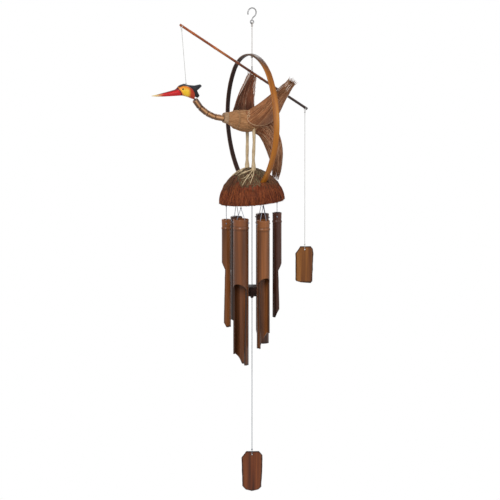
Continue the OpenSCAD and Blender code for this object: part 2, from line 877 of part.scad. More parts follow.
// A cord down to a ring that passes through a slat's hole
module slat_cord(from_z, top, d) {
    mid = top - [0, 0, slat_hole_drop - slat_ring_r];
    ring_knot = 2.2 * d;
    strand([top.x, top.y, from_z], mid + [0, 0, slat_ring_r], d);
    knot(mid + [0, 0, slat_ring_r + d], ring_knot);
    translate(mid) rotate([0, 0, slat_facing]) arc_xz(slat_ring_r, d);
}

// A curved slat split from a culm, cut to an outline that is drawn from its hole
module slat(top, w, h, outline) {
    translate(top) rotate([0, 0, slat_facing + 90])
        difference() {
            intersection() {
                translate([0, slat_culm_r - slat_t / 2, -h - cut])
                    difference() {
                        cylinder(h = h + 2 * cut, r = slat_culm_r);
                        translate([0, 0, -cut]) cylinder(h = h + 4 * cut, r = slat_culm_r - slat_t);
                    }
                rotate([90, 0, 0])
                    linear_extrude(height = 4 * slat_t, center = true)
                        polygon([for (p = outline) [p.x * w, p.y * h]]);
            }
            translate([0, 0, -slat_hole_drop])
                rotate([90, 0, 0])
                    cylinder(h = 4 * slat_t, d = slat_hole_d, center = true);
        }
}

// Thread from the rod's back loop to the flag
module flag_thread() {
    color("gainsboro")
        slat_cord(back_hole.z - sling_len - thread_knot / 2 - run_gap, flag_top, thread_d);
}

// Bamboo flag at the back of the rod, as shares of its width and length
module wind_flag() {
    color("rosybrown")
        slat(flag_top, flag_w, flag_h, [
            [-0.52, -0.2], [-0.26, 0], [0.34, 0], [0.46, -0.07], [0.48, -0.2],
            [0.42, -0.98], [0.36, -1], [-0.46, -0.98], [-0.52, -0.94]
        ]);
}

// A chime tube: node ridge and septum near the top, outer side scooped away below, slanted tip
module chime_tube(k) {
    r = tube_d[k] / 2;
    bore = r - tube_wall;
    length = tube_len[k];
    scoop = tube_scoop[k];
    ridge = 2.5;
    septum = 3;
    lip = 0.8;
    clear = r + 2 * cut;
    face = scoop_face * r;
    face_end = scoop_end * r;
    level = tip_level[k] * r;
    foot = -length - cut;
    color([0.30, 0.15, 0.07])
        translate(tube_top(k))
            rotate([0, 0, tube_angle[k]])
                difference() {
                    rotate_extrude()
                        polygon([
                            [0, -length], [r, -length], [r, -tube_node - 2 * ridge],
                            [r + node_ridge, -tube_node - ridge / 2],
                            [r + node_ridge, -tube_node + ridge / 2],
                            [r, -tube_node + 2 * ridge], [r, -lip], [r - lip, 0], [0, 0]
                        ]);
                    translate([0, 0, -tube_node + septum / 2]) cylinder(h = tube_node, r = bore);
                    translate([0, 0, foot]) cylinder(h = -foot - tube_node - septum / 2, r = bore);
                    rotate([90, 0, 0])
                        linear_extrude(height = 4 * r, center = true)
                            polygon([
                                [clear, -scoop], [face, -scoop - scoop_rise[k]],
                                [face_end, foot], [clear, foot]
                            ]);
                    rotate([0, 0, tip_side[k]])
                        rotate([90, 0, 0])
                            linear_extrude(height = 4 * r, center = true)
                                polygon([
                                    [level, foot], [clear, foot],
                                    [clear, foot + (clear - level) * tan(tip_slope)]
                                ]);
                    translate([0, 0, -tube_hole_drop])
                        rotate([90, 0, 0])
                            cylinder(h = 4 * r, d = tie_hole_d, center = true);
                }
}

// Cord that hangs a tube: a knotted stub in the coconut's wall, a drop, and a fork into the tube
module tube_tie(k) {
    r = tube_d[k] / 2;
    fork = r - tube_wall - tie_d;
    apex = [0, 0, -tie_apex_drop];
    holes_z = -tube_hang[k] - tube_hole_drop;
    outer = r + run_gap + stop_knot / 2;
    color("dimgray")
        translate(tie_hole(k))
            rotate([0, 0, tube_angle[k]]) {
                knot([tie_seat_r - ring_r + run_gap + tie_knot / 2, 0, 0], tie_knot);
                strand([0, 0, 0], [tie_seat_r - ring_r + tie_knot / 2, 0, 0], tie_d);
                knot([0, 0, 0], tie_d * bend_swell);
                strand([0, 0, 0], apex, tie_d);
                knot(apex, tie_knot);
                for (y = [-1, 1]) {
                    strand(apex, [0, y * fork, holes_z], tie_d);
                    knot([0, y * fork, holes_z], tie_d * bend_swell);
                    strand([0, y * fork, holes_z], [0, y * outer, holes_z], tie_d);
                    knot([0, y * outer, holes_z], stop_knot);
                }
            }
}

// Knot on top of the dome that carries the striker
module centre_knot() {
    color("dimgray") knot([0, 0, centre_knot_z], striker_knot);
}

// Cord through the dome and the striker, with the knot that carries the striker
module striker_cord() {
    color("wheat") {
        strand([0, 0, centre_knot_z - striker_knot / 2 - run_gap], [0, 0, low_knot_z], striker_cord_d);
        knot([0, 0, low_knot_z], striker_knot);
    }
}

// Rough wooden striker with eased edges
module striker() {
    ease = 2.5;
    r = striker_d / 2;
    color([0.22, 0.12, 0.07])
        translate([0, 0, striker_z])
            rotate_extrude()
                polygon([
                    [striker_cord_d / 2 + cord_gap, -striker_t / 2], [r - ease, -striker_t / 2],
                    [r, -striker_t / 2 + ease], [r, striker_t / 2 - ease],
                    [r - ease, striker_t / 2], [striker_cord_d / 2 + cord_gap, striker_t / 2]
                ]);
}

// Cord from the striker's knot to the sail
module sail_cord() {
    color("wheat") slat_cord(low_knot_z - striker_knot / 2 - run_gap, sail_top, sail_cord_d);
}

// Bamboo wind sail, as shares of its width and length
module wind_sail() {
    color("burlywood")
        slat(sail_top, sail_w, sail_h, [
            [-0.5, -0.16], [-0.28, 0], [0.34, 0], [0.5, -0.1], [0.49, -0.5], [0.44, -0.9],
            [0.3, -0.97], [0, -1], [-0.3, -0.97], [-0.46, -0.88]
        ]);
}

hook();
hanger_cord();
hoop_knot();
hoop();
pivot_cord();
pivot_loop();
coconut_cap();
bird_body();
neck_collar();
left_wing();
right_wing();
tail();
left_leg();
right_leg();
body_twine();
neck_cord_root();
for (i = [0:beads - 1]) {
    neck_bead(i);
    neck_cord(i);
}
neck_cord_head();
head();
balance_rod();
head_thread();
tail_tie();
flag_thread();
wind_flag();
for (k = [0:tube_count - 1]) {
    tube_tie(k);
    chime_tube(k);
}
centre_knot();
striker_cord();
striker();
sail_cord();
wind_sail();
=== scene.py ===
"""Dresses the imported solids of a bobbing-bird wind chime.

The classes hold their sizes in millimetres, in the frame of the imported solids, and the modelling
steps turn them into metres when a mesh is made.
"""

from __future__ import annotations

import json
import logging
import random
from dataclasses import dataclass
from enum import Enum
from functools import cache
from math import acos, asin, atan2, copysign, cos, degrees, exp, hypot, pi, radians, sin, sqrt, tan, tau
from typing import Any, Callable, Sequence

import bpy
from bpy.types import Material, Node, NodeSocket, Object
from mathutils import Matrix, Vector, noise

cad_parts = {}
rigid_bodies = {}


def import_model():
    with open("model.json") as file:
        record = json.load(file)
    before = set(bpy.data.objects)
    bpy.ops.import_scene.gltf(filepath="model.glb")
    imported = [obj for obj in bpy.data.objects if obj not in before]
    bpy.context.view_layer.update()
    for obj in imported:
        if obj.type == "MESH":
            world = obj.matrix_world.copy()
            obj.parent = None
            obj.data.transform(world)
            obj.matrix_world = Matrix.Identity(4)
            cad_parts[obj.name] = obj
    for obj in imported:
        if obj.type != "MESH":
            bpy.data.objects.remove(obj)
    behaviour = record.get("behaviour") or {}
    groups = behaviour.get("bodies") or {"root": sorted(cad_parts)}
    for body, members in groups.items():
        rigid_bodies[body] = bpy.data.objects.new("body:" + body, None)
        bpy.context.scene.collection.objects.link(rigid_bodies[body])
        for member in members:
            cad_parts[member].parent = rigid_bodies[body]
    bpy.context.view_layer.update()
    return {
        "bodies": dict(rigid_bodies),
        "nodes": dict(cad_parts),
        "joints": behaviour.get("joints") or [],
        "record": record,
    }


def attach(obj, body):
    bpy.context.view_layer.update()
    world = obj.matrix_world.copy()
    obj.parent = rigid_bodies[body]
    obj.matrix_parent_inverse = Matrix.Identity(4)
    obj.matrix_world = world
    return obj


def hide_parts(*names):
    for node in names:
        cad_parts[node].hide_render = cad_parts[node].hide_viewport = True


LOG = logging.getLogger("wind_chime")
MM = 0.001
SEED = 20
UP = Vector((0.0, 0.0, 1.0))
ASIDE = Vector((0.0, 1.0, 0.0))
FIBRE_STEPS = (0.0, 0.25, 0.5, 0.75, 1.0)
STRAY_STEPS = (0.0, 0.35, 0.7, 1.0)
WHITE = (1, 1, 1, 1)
Colour = tuple[float, float, float, float]
Tone = tuple[int, int, int]
Triple = tuple[float, float, float]
Numbers = tuple[float, ...]
Pairs = Sequence[tuple[float, float]]
Points = Sequence[Vector]
Place = Callable[[float, float], Vector]


def srgb(red: int, green: int, blue: int) -> Colour:
    """Turn a screen colour, in levels of 0 to 255, into a shader's linear values."""
    levels = [level / 255 for level in (red, green, blue)]
    return (*(v / 12.92 if v <= 0.04045 else ((v + 0.055) / 1.055) ** 2.4 for v in levels), 1.0)


def linear(colour: Any) -> Any:
    """A tone as a shader's colour; what is no tone stays as it is."""
    return srgb(*colour) if isinstance(colour, tuple) and len(colour) == 3 else colour


def clamp(value: float) -> float:
    """The value, kept within 0 and 1."""
    return min(1.0, max(0.0, value))


def between(first: Any, second: Any, share: float) -> Any:
    """A value or point at a share of the way from the first to the second."""
    return first * (1 - share) + second * share


def bend(start: Vector, pull: Vector, end: Vector, share: float) -> Vector:
    """A point of the curve that leaves the start towards the pull and arrives at the end."""
    return between(between(start, pull, share), between(pull, end, share), share)


def ease(low: float, high: float, value: float) -> float:
    """A smooth step from 0 at the low value to 1 at the high value."""
    share = clamp((value - low) / (high - low))
    return share * share * (3 - 2 * share)


def through(points: Points, share: float) -> Vector:
    """A point of the smooth curve through a row of points.

    Args:
        points: The points in order, at least two.
        share: Place along the row, 0 to 1.

    Returns:
        The point there.
    """
    last = len(points) - 1
    place = clamp(share) * last
    i = min(int(place), last - 1)
    f = place - i
    a, b = points[max(i - 1, 0)], points[i]
    c, d = points[i + 1], points[min(i + 2, last)]
    return 0.5 * (
        2 * b + (c - a) * f + (2 * a - 5 * b + 4 * c - d) * f * f + (3 * b - a - 3 * c + d) * f**3
    )


def even_steps(points: Points, step: float) -> list[Vector]:
    """Points at an even step along the smooth curve through a row of points.

    Args:
        points: The row of points.
        step: Wanted distance between two points.

    Returns:
        The points, with both ends kept.
    """
    fine = [through(points, i / (60 * len(points))) for i in range(60 * len(points) + 1)]
    runs = [0.0]
    for a, b in zip(fine, fine[1:]):
        runs.append(runs[-1] + (b - a).length)
    count = max(2, round(runs[-1] / step))
    result, i = [], 0
    for n in range(count + 1):
        want = runs[-1] * n / count
        while i < len(fine) - 2 and runs[i + 1] < want:
            i += 1
        part = runs[i + 1] - runs[i]
        result.append(between(fine[i], fine[i + 1], (want - runs[i]) / part if part else 0.0))
    return result


def read_off(table: Sequence[Numbers], place: float) -> list[float]:
    """Read the values of a table at a place, on straight lines between its rows.

    Args:
        table: Rows of a place and its values, in rising order of place.
        place: Where to read.

    Returns:
        The values there.
    """
    for low, high in zip(table, table[1:]):
        if place <= high[0]:
            share = clamp((place - low[0]) / (high[0] - low[0]))
            return [between(a, b, share) for a, b in zip(low[1:], high[1:])]
    return list(table[-1][1:])


def capped(place: float, rows: int) -> tuple[float, bool]:
    """Share along a form whose end rows close to a point, and whether a row is such an end."""
    row = place * rows
    return clamp((row - 1) / (rows - 2)), not 0.5 <= row <= rows - 0.5


def circle(middle: Vector, radius: float, first: Vector, second: Vector) -> list[Vector]:
    """Sixteen points of a ring about a middle, in the plane of two directions."""
    turns = [tau * i / 16 for i in range(16)]
    return [middle + radius * (first * sin(a) + second * cos(a)) for a in turns]


class Grain(Enum):
    """What a pattern follows on a piece."""

    UPRIGHT = "Object"
    SURFACE = "UV"


class Side(Enum):
    """The bird's left and right, by the sign of Y."""

    LEFT = -1
    RIGHT = 1


def pick(obj: Object) -> None:
    """Make one object the only one selected, and the active one.

    Args:
        obj: The object.
    """
    bpy.ops.object.select_all(action="DESELECT")
    obj.select_set(True)
    bpy.context.view_layer.objects.active = obj


def take(name: str) -> Object:
    """Name the primitive that was just added.

    Args:
        name: Its name.

    Returns:
        The object.
    """
    obj = bpy.context.object
    obj.name = obj.data.name = name
    return obj


def settle(obj: Object, weld: float = 4e-6) -> None:
    """Merge doubles and turn the faces outwards.

    Args:
        obj: The closed mesh object.
        weld: Distance in metres within which points merge; with 0 none do.
    """
    pick(obj)
    bpy.ops.object.mode_set(mode="EDIT")
    bpy.ops.mesh.select_all(action="SELECT")
    if weld:
        bpy.ops.mesh.remove_doubles(threshold=weld)
    bpy.ops.mesh.normals_make_consistent(inside=False)
    bpy.ops.object.mode_set(mode="OBJECT")


def face_out(obj: Object, heart: Callable[[Vector], Vector]) -> None:
    """Turn an open skin away from the heart of its form, which is given for a place in metres."""
    if sum(f.normal.dot(f.center - heart(f.center)) * f.area for f in obj.data.polygons) < 0:
        obj.data.flip_normals()


def modify(obj: Object, kind: str, **settings: Any) -> None:
    """Add a modifier and apply it.

    Args:
        obj: The mesh object.
        kind: The modifier's type.
        **settings: Its settings.
    """
    pick(obj)
    modifier = obj.modifiers.new(kind.title(), kind)
    for key, value in settings.items():
        setattr(modifier, key, value)
    bpy.ops.object.modifier_apply(modifier=modifier.name)


def roughen(obj: Object, height: float, size: float) -> None:
    """Push a surface in and out by soft clouds.

    Args:
        obj: The mesh object.
        height: Height of the relief in millimetres.
        size: Width of the clouds in millimetres.
    """
    clouds = bpy.data.textures.new(obj.name + "_clouds", "CLOUDS")
    clouds.noise_scale = size * MM
    clouds.noise_depth = 2
    modify(obj, "DISPLACE", texture=clouds, strength=height * MM, mid_level=0.5, texture_coords="LOCAL")


def smooth(obj: Object, sharp: float = 45) -> None:
    """Shade smooth, with edges sharper than an angle in degrees kept."""
    pick(obj)
    bpy.ops.object.shade_smooth_by_angle(angle=radians(sharp))


def drape(name: str, across: int, along: int, place: Place) -> Object:
    """Lay a grid over a form, keeping the grid's own UV map.

    Args:
        name: The piece's name.
        across: Cells across or round the form.
        along: Cells along the form.
        place: Gives the point in millimetres for shares across and along.

    Returns:
        The mesh object, with seams and poles merged.
    """
    bpy.ops.object.select_all(action="DESELECT")
    bpy.ops.mesh.primitive_grid_add(x_subdivisions=across, y_subdivisions=along, size=2.0, calc_uvs=True)
    obj = take(name)
    for vertex in obj.data.vertices:
        vertex.co = place((vertex.co.x + 1) / 2, (vertex.co.y + 1) / 2) * MM
    settle(obj)
    return obj


def sweep(
    name: str, path: Points, radius: Callable[[float], float], sides: int, rings: int,
    side: Vector,
) -> Object:
    """Carry a round section along a smooth path.

    Args:
        name: The piece's name.
        path: Points of the path.
        radius: Gives the radius for a share of the path.
        sides: Cells round the section.
        rings: Cells along the path.
        side: A direction that is never along the path.

    Returns:
        The closed mesh object.
    """

    def place(u: float, v: float) -> Vector:
        """A point of the swept skin.

        Args:
            u: Share round the section.
            v: Share along the path.

        Returns:
            The point.
        """
        share, end = capped(v, rings)
        run = through(path, min(1.0, share + 0.01)) - through(path, max(0.0, share - 0.01))
        first = run.cross(side).normalized()
        second = run.cross(first).normalized()
        reach = 0.0 if end else radius(share)
        turn = tau * u
        return through(path, share) + reach * (first * cos(turn) + second * sin(turn))

    return drape(name, sides, rings, place)


def lathe(name: str, profile: Pairs, sides: int, at: Vector, axis: Vector = UP) -> Object:
    """Extrude a disc step by step through a profile, as on a lathe.

    Args:
        name: The piece's name.
        profile: Radius and height of each step, from the foot up.
        sides: Number of sides.
        at: Where the profile's foot stands.
        axis: The direction of its height.

    Returns:
        The closed mesh object, with its place in its mesh.
    """
    bpy.ops.object.select_all(action="DESELECT")
    bpy.ops.mesh.primitive_circle_add(
        vertices=sides, radius=profile[0][0] * MM, fill_type="NGON", location=(0, 0, profile[0][1] * MM)
    )
    obj = take(name)
    bpy.ops.object.transform_apply(location=True)
    bpy.ops.object.mode_set(mode="EDIT")
    bpy.ops.mesh.select_all(action="SELECT")
    for (r0, h0), (r1, h1) in zip(profile, profile[1:]):
        bpy.ops.mesh.extrude_region_move(TRANSFORM_OT_translate={"value": (0, 0, (h1 - h0) * MM)})
        bpy.ops.transform.resize(value=(r1 / r0, r1 / r0, 1), center_override=(0, 0, h1 * MM))
    bpy.ops.object.mode_set(mode="OBJECT")
    settle(obj, 0)
    obj.matrix_world = Matrix.Translation(at * MM) @ UP.rotation_difference(axis).to_matrix().to_4x4()
    pick(obj)
    bpy.ops.object.transform_apply(location=True, rotation=True, scale=True)
    return obj


def plate(name: str, outline: Pairs, thick: float) -> Object:
    """Extrude an outline in the XZ plane to an even thickness about it.

    Args:
        name: The piece's name.
        outline: X and Z of its corners in millimetres.
        thick: Thickness along Y.

    Returns:
        The closed mesh object.
    """
    bpy.ops.object.select_all(action="DESELECT")
    bpy.ops.mesh.primitive_circle_add(vertices=len(outline), radius=1.0, fill_type="NGON")
    obj = take(name)
    for vertex, (x, z) in zip(obj.data.vertices, outline):
        vertex.co = Vector((x, -thick / 2, z)) * MM
    bpy.ops.object.mode_set(mode="EDIT")
    bpy.ops.mesh.select_all(action="SELECT")
    bpy.ops.mesh.extrude_region_move(TRANSFORM_OT_translate={"value": (0, thick * MM, 0)})
    bpy.ops.object.mode_set(mode="OBJECT")
    settle(obj, 0)
    return obj


def copy(obj: Object, name: str, move: Matrix) -> Object:
    """A copy with its own mesh, moved in its mesh.

    Args:
        obj: The object to copy.
        name: The copy's name.
        move: How it is moved, in metres.

    Returns:
        The copy.
    """
    pick(obj)
    bpy.ops.object.duplicate(linked=False)
    twin = take(name)
    twin.data.transform(move)
    return twin


def merge(name: str, parts: Sequence[Object]) -> Object:
    """Join objects into one piece.

    Args:
        name: The piece's name.
        parts: The objects, at least two.

    Returns:
        The piece.
    """
    pick(parts[0])
    for part in parts[1:]:
        part.select_set(True)
    bpy.ops.object.join()
    return take(name)


def mark(obj: Object, name: str, value: Callable[[Vector], float]) -> None:
    """Write a named number on each vertex by its place in millimetres."""
    layer = obj.data.attributes.new(name, "FLOAT", "POINT")
    layer.data.foreach_set("value", [value(vertex.co / MM) for vertex in obj.data.vertices])


class Lines:
    """Lines of one piece, drawn as a curve and made a mesh."""

    def __init__(self, name: str, thick: float) -> None:
        """Start an empty piece.

        Args:
            name: The piece's name.
            thick: Thickness of its lines in millimetres.
        """
        self.name = name
        self.thick = thick
        self.sheet = bpy.data.curves.new(name, "CURVE")
        self.sheet.dimensions = "3D"
        self.sheet.use_fill_caps = True

    def draw(self, points: Points, closed: bool = False) -> Sequence[bpy.types.SplinePoint]:
        """Draw one line.

        Args:
            points: Where it runs, in millimetres.
            closed: Whether its end meets its start.

        Returns:
            The line's own points.
        """
        line = self.sheet.splines.new("POLY")
        line.points.add(len(points) - 1)
        line.use_cyclic_u = closed
        for point, at in zip(line.points, points):
            point.co = (*(at * MM), 1.0)
        return line.points

    def meshed(self, weld: float) -> Object:
        """Make the lines a mesh.

        Args:
            weld: Distance in metres within which points merge.

        Returns:
            The mesh object.
        """
        obj = bpy.data.objects.new(self.name, self.sheet)
        bpy.context.scene.collection.objects.link(obj)
        pick(obj)
        bpy.ops.object.convert(target="MESH")
        obj = take(self.name)
        settle(obj, weld)
        return obj


class RopeWork(Lines):
    """Twisted cord of one piece: its runs and knots share a section of three strands."""

    LOBES = 3
    POINTS = 12
    KNOT_POINTS = 42
    STEPS = 6
    PITCH = 3.2

    def run(self, points: Points, closed: bool = False) -> list[Vector]:
        """Add a twisted length of cord along a row of points.

        Args:
            points: The row, in millimetres.
            closed: Whether its end meets its start.

        Returns:
            The points that the cord follows.
        """
        row = [*points, points[0]] if closed else points
        steps = even_steps(row, self.PITCH * self.thick / self.STEPS)
        if closed:
            steps = steps[:-1]
        turns = round(len(steps) / self.STEPS) if closed else len(steps) / self.STEPS
        for i, point in enumerate(self.draw(steps, closed)):
            point.tilt = tau * turns * i / len(steps)
        return steps

    def knot(self, at: Vector, size: float, turn: float = 0.0) -> None:
        """Add a three-leaved knot drawn tight.

        Args:
            at: Its middle, in millimetres.
            size: Its width.
            turn: Its turn about the upright, in radians.
        """
        reach = (size - self.thick) / 6
        spin = Matrix.Rotation(turn, 3, "Z")
        row = []
        for i in range(self.KNOT_POINTS):
            a = tau * i / self.KNOT_POINTS
            leaf = Vector((sin(a) + 2 * sin(2 * a), -1.6 * sin(3 * a), cos(a) - 2 * cos(2 * a)))
            row.append(at + spin @ leaf * reach)
        self.draw(row, closed=True)

    def make(self) -> Object:
        """Sweep the section along every run and make the piece a mesh.

        Returns:
            The mesh object.
        """
        outline = bpy.data.curves.new(self.name + "_section", "CURVE")
        ring = outline.splines.new("POLY")
        ring.points.add(self.POINTS - 1)
        ring.use_cyclic_u = True
        for i, point in enumerate(ring.points):
            a = tau * i / self.POINTS
            r = self.thick / 2 * (0.86 + 0.14 * cos(self.LOBES * a)) * MM
            point.co = (r * cos(a), r * sin(a), 0.0, 1.0)
        section = bpy.data.objects.new(self.name + "_section", outline)
        bpy.context.scene.collection.objects.link(section)
        self.sheet.bevel_mode = "OBJECT"
        self.sheet.bevel_object = section
        obj = self.meshed(4e-6)
        bpy.data.objects.remove(section)
        smooth(obj, 60)
        return obj


class Strands(Lines):
    """Many loose fibres of one piece."""

    def lay(self, points: Points, weight: float = 1.0, fine_end: float = 0.35) -> None:
        """Lay one fibre, of a weight against the usual one, that thins to a share of it at its end."""
        for i, point in enumerate(self.draw(points)):
            point.radius = weight * between(1.0, fine_end, (i / (len(points) - 1)) ** 2)

    def make(self) -> Object:
        """Make the bundle a mesh.

        Returns:
            The mesh object.
        """
        self.sheet.bevel_depth = self.thick / 2 * MM
        self.sheet.bevel_resolution = 0
        obj = self.meshed(1e-7)
        pick(obj)
        bpy.ops.object.shade_smooth()
        return obj


class Graph:
    """The node graph of one finish, grown round its surface shader."""

    def __init__(self, name: str) -> None:
        """Start a material with its surface shader.

        Args:
            name: The material's name.
        """
        self.material = bpy.data.materials.new(name)
        self.material.use_nodes = True
        self.tree = self.material.node_tree
        self.shader = self.tree.nodes["Principled BSDF"]

    def feed(self, node: Node, sockets: dict[Any, Any]) -> None:
        """Link or set sockets of a node.

        Args:
            node: The node.
            sockets: Other sockets or plain values, by the socket's name or number.
        """
        for key, value in sockets.items():
            if isinstance(value, NodeSocket):
                self.tree.links.new(value, node.inputs[key])
            else:
                node.inputs[key].default_value = value

    def node(self, kind: str, sockets: dict[Any, Any] | None = None, **settings: Any) -> Node:
        """Add a node.

        Args:
            kind: The node's type.
            sockets: What is fed to it.
            **settings: Its options.

        Returns:
            The node.
        """
        node = self.tree.nodes.new("ShaderNode" + kind)
        for key, value in settings.items():
            setattr(node, key, value)
        self.feed(node, sockets or {})
        return node

    def noise(
        self, grain: Grain, stretch: Triple, detail: float = 3.0, rough: float = 0.55, warp: float = 0.0,
    ) -> NodeSocket:
        """A noise pattern, counted in swells a metre or a whole UV map.

        Args:
            grain: What the pattern follows.
            stretch: Swells along each direction.
            detail: Layers of finer noise.
            rough: Strength of the finer noise.
            warp: How far it warps itself.

        Returns:
            The pattern's value.
        """
        where = self.node("TexCoord").outputs[grain.value]
        mapping = self.node("Mapping", {"Scale": stretch, "Vector": where})
        return self.node("TexNoise", {
            "Vector": mapping.outputs["Vector"], "Scale": 1.0, "Detail": detail, "Roughness": rough,
            "Distortion": warp,
        }).outputs[0]

    def ramp(self, share: NodeSocket, stops: Sequence[tuple[float, Tone | Colour]]) -> NodeSocket:
        """A colour read from a row of stops.

        Args:
            share: The value that picks the colour.
            stops: Places and their tones or colours, at least two.

        Returns:
            The colour.
        """
        node = self.node("ValToRGB", {0: share})
        row = node.color_ramp.elements
        stops = [(position, linear(colour)) for position, colour in stops]
        row[0].position, row[0].color = stops[0]
        row[1].position, row[1].color = stops[-1]
        for position, colour in stops[1:-1]:
            row.new(position).color = colour
        return node.outputs["Color"]

    def mix(self, share: Any, first: Any, second: Any, blend: str = "MIX") -> NodeSocket:
        """Mix two tones, colours or sockets by a share of the second."""
        sockets = {0: share, 6: linear(first), 7: linear(second)}
        return self.node("Mix", sockets, data_type="RGBA", blend_type=blend).outputs[2]

    def spread(self, value: NodeSocket, low: float, high: float) -> NodeSocket:
        """Spread a pattern's middle range over new limits."""
        limits = {"Value": value, "From Min": 0.3, "From Max": 0.7, "To Min": low, "To Max": high}
        return self.node("MapRange", limits).outputs["Result"]

    def attribute(self, name: str, output: str = "Fac") -> NodeSocket:
        """A value or colour written on the piece's own points."""
        return self.node("Attribute", attribute_name=name).outputs[output]

    def finish(
        self, colour: NodeSocket, rough: Any, height: NodeSocket, depth: float, **sockets: float,
    ) -> Material:
        """Feed the surface shader.

        Args:
            colour: The surface's colour.
            rough: Its roughness.
            height: The pattern that lifts it.
            depth: Height of that relief in millimetres.
            **sockets: Other plain values, by socket name with underscores.

        Returns:
            The material.
        """
        relief = self.node("Bump", {"Distance": depth * MM, "Strength": 1.0, "Height": height})
        self.feed(self.shader, {
            "Base Color": colour, "Roughness": rough, "Normal": relief.outputs["Normal"],
            "Specular IOR Level": 0.22,
            **{name.replace("_", " "): value for name, value in sockets.items()},
        })
        return self.material


@dataclass(frozen=True)
class Finish:
    """A surface that pieces can be given, made when it is first asked for."""

    name: str

    @cache
    def material(self) -> Material:
        """The finish as a material."""
        return self.grow(Graph(self.name))

    def grow(self, g: Graph) -> Material:
        """Grow the finish's nodes.

        Args:
            g: The graph that they grow in.

        Returns:
            The material.
        """
        raise NotImplementedError


@dataclass(frozen=True)
class BambooFinish(Finish):
    """Flame-browned bamboo with fine lengthwise streaks and scorched cut edges, plus painted highlights
    and painted shade where a piece marks them.
    """

    dark: Tone
    middle: Tone
    light: Tone
    grain: Grain = Grain.UPRIGHT
    fine: Triple = (420.0, 420.0, 6.0)
    broad: Triple = (95.0, 95.0, 5.0)
    streak: float = 0.45
    rough: float = 0.38
    coat: float = 0.12

    def grow(self, g: Graph) -> Material:
        """Grow its bands, streaks, pale places and painted highlights, burns and painted shade."""
        bands = g.noise(self.grain, self.broad, 2.0, 0.5, 0.4)
        lines = g.noise(self.grain, self.fine, 4.0, 0.6)
        tone = g.ramp(bands, ((0.28, self.dark), (0.5, self.middle), (0.7, self.light)))
        shade = g.ramp(lines, ((0.32, (0.42, 0.36, 0.32, 1)), (0.6, WHITE)))
        colour = g.mix(self.streak, tone, shade, "MULTIPLY")
        # paler skin and painted highlights, where the piece marks them
        colour = g.mix(g.attribute("bloom_and_highlight"), colour, self.light)
        # burns and painted shade, where the piece marks them
        colour = g.mix(g.attribute("scorch"), colour, (30, 13, 7))
        rough = g.spread(lines, self.rough + 0.1, self.rough - 0.06)
        return g.finish(colour, rough, lines, 0.12, Coat_Weight=self.coat, Coat_Roughness=0.22)


@dataclass(frozen=True)
class FibreFinish(Finish):
    """A sheath of fibre: close strands along the sheet, with darker gaps."""

    gap: Tone
    body: Tone
    tip: Tone
    count: Triple = (60.0, 3.0, 1.0)
    depth: float = 0.5

    def grow(self, g: Graph) -> Material:
        """Grow its close strands, clouds and darkening."""
        lines = g.noise(Grain.SURFACE, self.count, 5.0, 0.65, 0.2)
        clouds = g.noise(Grain.UPRIGHT, (55.0, 55.0, 55.0), 3.0)
        colour = g.ramp(lines, ((0.3, self.gap), (0.52, self.body), (0.72, self.tip)))
        shade = g.ramp(clouds, ((0.3, (0.5, 0.45, 0.42, 1)), (0.65, WHITE)))
        colour = g.mix(0.6, colour, shade, "MULTIPLY")
        # darker where the piece marks it: painted shade at a wing's base, and a darker wing tip
        colour = g.mix(g.attribute("shade"), colour, (24, 12, 8))
        return g.finish(colour, g.spread(lines, 0.85, 0.6), lines, self.depth, Sheen_Weight=0.1)


@dataclass(frozen=True)
class StrandFinish(Finish):
    """Loose fibres, each of its own shade."""

    dark: Tone
    middle: Tone
    light: Tone

    def grow(self, g: Graph) -> Material:
        """Grow a shade for each fibre, with specks."""
        shade = g.node("NewGeometry").outputs["Random Per Island"]
        specks = g.noise(Grain.UPRIGHT, (300.0, 300.0, 300.0), 2.0)
        colour = g.ramp(shade, ((0.0, self.dark), (0.5, self.middle), (1.0, self.light)))
        dim = g.ramp(specks, ((0.35, (0.6, 0.56, 0.52, 1)), (0.6, WHITE)))
        # darker where the piece marks it: painted shade at a wing's base, and a darker wing tip
        colour = g.mix(g.attribute("shade"), g.mix(0.5, colour, dim, "MULTIPLY"), (24, 12, 8))
        return g.finish(colour, 0.62, specks, 0.1)


@dataclass(frozen=True)
class CordFinish(Finish):
    """Twisted cord with a little fuzz and soiling."""

    clean: Tone
    soiled: Tone

    def grow(self, g: Graph) -> Material:
        """Grow its soiling and its fuzz."""
        hairs = g.noise(Grain.UPRIGHT, (2600.0, 2600.0, 1500.0), 3.0, 0.6)
        soil = g.noise(Grain.UPRIGHT, (120.0, 120.0, 40.0), 2.0)
        colour = g.mix(g.spread(soil, 0.0, 0.8), self.clean, self.soiled)
        shade = g.ramp(hairs, ((0.35, (0.62, 0.6, 0.58, 1)), (0.6, WHITE)))
        colour = g.mix(0.6, colour, shade, "MULTIPLY")
        return g.finish(colour, 0.85, hairs, 0.08, Sheen_Weight=0.15)


@dataclass(frozen=True)
class TwigFinish(Finish):
    """Bare twig with lengthwise bark lines."""

    dark: Tone
    light: Tone

    def grow(self, g: Graph) -> Material:
        """Grow its bark lines and spots."""
        lines = g.noise(Grain.SURFACE, (16.0, 2.5, 1.0), 5.0, 0.65, 0.5)
        spots = g.noise(Grain.UPRIGHT, (240.0, 240.0, 160.0), 3.0)
        colour = g.ramp(lines, ((0.32, self.dark), (0.62, self.light)))
        shade = g.ramp(spots, ((0.3, (0.55, 0.48, 0.42, 1)), (0.58, WHITE)))
        return g.finish(g.mix(0.55, colour, shade, "MULTIPLY"), 0.72, lines, 0.3)


